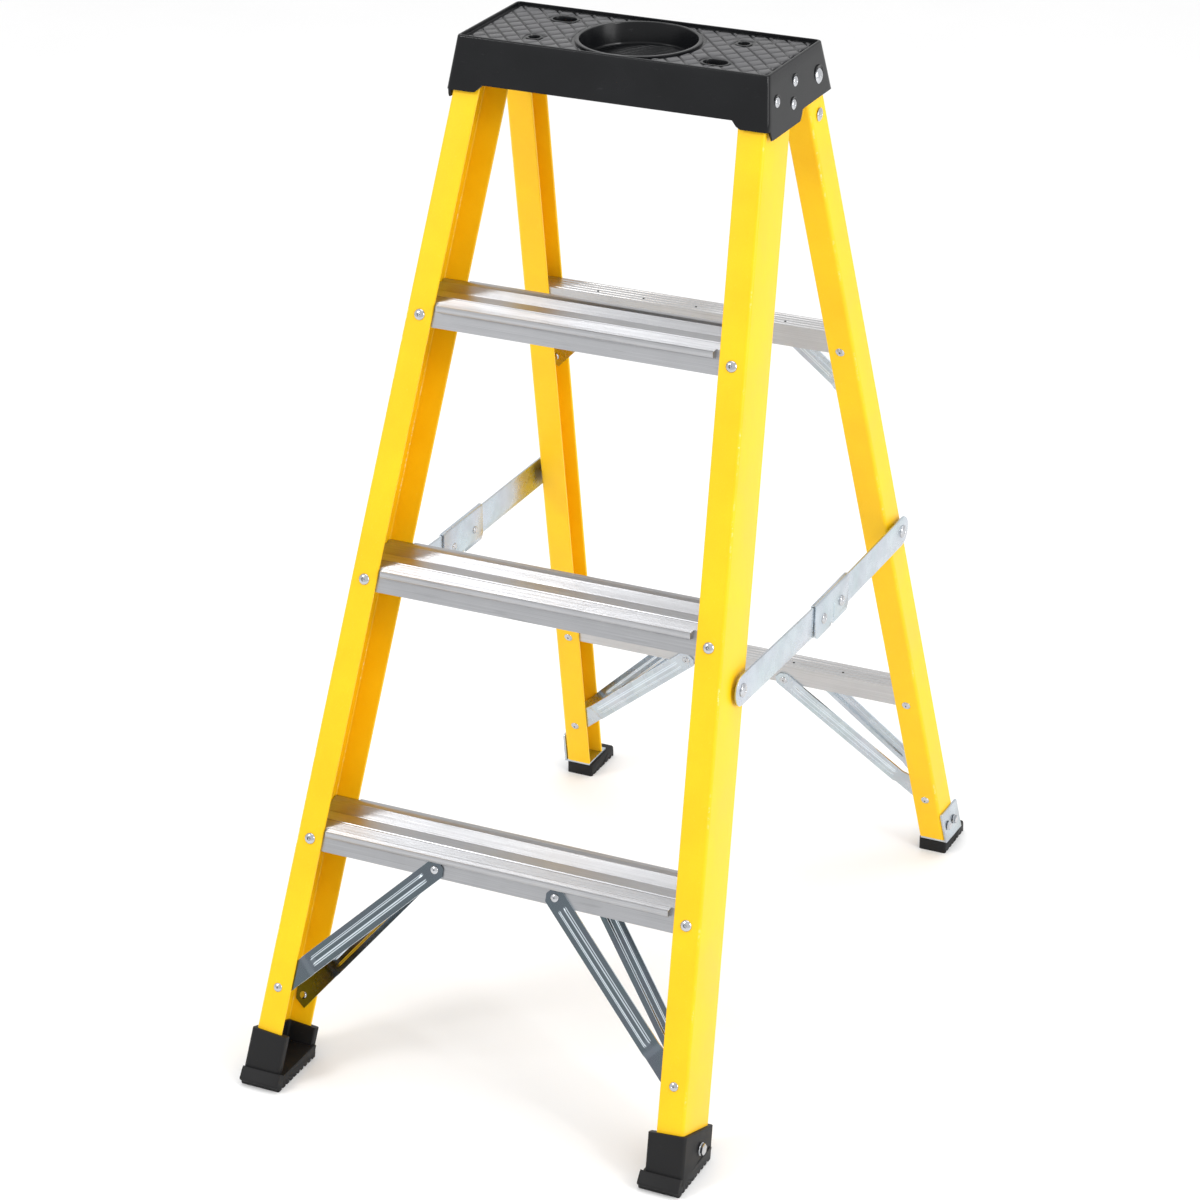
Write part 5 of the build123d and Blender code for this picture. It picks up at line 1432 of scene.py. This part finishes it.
build.lathe(outside, tray_centre, (0, 0, 1), TRAY_SEGMENTS)
floor_ribs = Build()
rib_count = 21
reach = inner_radius - 4.5
for i in range(rib_count):
    y = -reach + (i + 0.5) * 2 * reach / rib_count
    long = math.sqrt(max(0.0, reach ** 2 - y ** 2))
    if long < 6:
        continue
    section = [(-1.5, -0.2), (-1.1, 0.75), (-0.6, 1.05), (0.6, 1.05), (1.1, 0.75), (1.5, -0.2)]
    rows = []
    for x, k in ((-long, 0.15), (-long + 1.2, 1.0), (long - 1.2, 1.0), (long, 0.15)):
        wide = 0.5 + 0.5 * k
        rows.append([vec(x, TRAY_Y + y + a * wide, tray_floor + b * k) for a, b in section])
    floor_ribs.rings(rows)

build.make("top_cap_skin", CAP, "ladder_frame", ["top_cap"], "cap_plastic")
# the pads' lighter plastic is a painted sheen
pads.make("top_cap_pads", PAD_PAINTED_SHEEN, "ladder_frame", slot="cap_plastic")
floor_ribs.make("top_cap_tray_ribs", CAP, "ladder_frame", slot="cap_plastic")

# raised pads the rivets and the pivot bolts sit on
bosses = Build()
RIVETS_IN = [(17.0, CAP_TOP - 33.5, 9.0), (70.0, CAP_TOP - 24.5, 9.0), (60.0, CAP_TOP - 47.5, 9.0)]
for side in (1, -1):
    for y_in, z, radius in RIVETS_IN + [(pivot[1] - CAP_FRONT, pivot[2], 13.5)]:
        seat = cap_size(z)[0] - 0.4
        boss = [
            (0, 0.0), (radius - 1.6, 0.0), (radius - 0.9, 0.5), (radius - 0.2, 0.4),
            (radius, -1.2), (radius, -2.2), (0, -2.2),
        ]
        bosses.lathe(boss, vec(side * seat, CAP_FRONT + y_in, z), vec(side, 0, 0), 40)
bosses.make("top_cap_bosses", CAP, "ladder_frame", slot="cap_plastic")

# ------------------------------------------------------------ studio
scene = bpy.context.scene


def flat_material(name, color, rough):
    p = Paint(name, color, 0.0, rough)
    soft = p.noise(3.0, 2)
    p.base(p.mix(p.spread(soft, 0.3, 0.7), color, tuple([c * 0.985 for c in color[:3]] + [1.0])))
    return p.material


mesh = bpy.data.meshes.new("floor")
mesh.from_pydata([(-14, -14, 0), (14, -14, 0), (14, 14, 0), (-14, 14, 0)], [], [(0, 1, 2, 3)])
floor = bpy.data.objects.new("floor", mesh)
scene.collection.objects.link(floor)
mesh.materials.append(flat_material("floor_paper", (0.93, 0.93, 0.93, 1.0), 0.9))

world = bpy.data.worlds.new("studio")
scene.world = world
world.use_nodes = True
world.node_tree.nodes["Background"].inputs["Color"].default_value = (1.0, 1.0, 1.0, 1.0)
world.node_tree.nodes["Background"].inputs["Strength"].default_value = 0.95


def lamp(name, place, aim, size, watts):
    """Rectangular lamp that points at a place, in metres."""
    data = bpy.data.lights.new(name, "AREA")
    data.shape = "RECTANGLE"
    data.size, data.size_y = size
    data.energy = watts
    made = bpy.data.objects.new(name, data)
    scene.collection.objects.link(made)
    made.location = place
    made.rotation_euler = (Vector(aim) - Vector(place)).to_track_quat("-Z", "Y").to_euler()


middle = (0.0, 0.0, 0.6)
lamp("key", (-2.6, -3.0, 3.6), middle, (1.2, 1.2), 60)
lamp("edge", (3.2, -1.3, 2.4), middle, (0.25, 0.6), 16)
lamp("side", (3.6, -0.4, 2.0), middle, (1.6, 2.6), 46)
lamp("top", (0.2, 0.8, 4.2), middle, (2.6, 2.6), 34)

camera_data = bpy.data.cameras.new("camera")
camera = bpy.data.objects.new("camera", camera_data)
scene.collection.objects.link(camera)
camera.location = (1.6198, -3.5406, 2.2815)
camera.rotation_euler = (math.radians(65.13), 0.0, math.radians(25.10))
camera_data.lens = 109.7
camera_data.sensor_width = 36.0
camera_data.shift_x = 0.0017
camera_data.shift_y = -0.0017
scene.camera = camera
scene.view_settings.view_transform = "Standard"
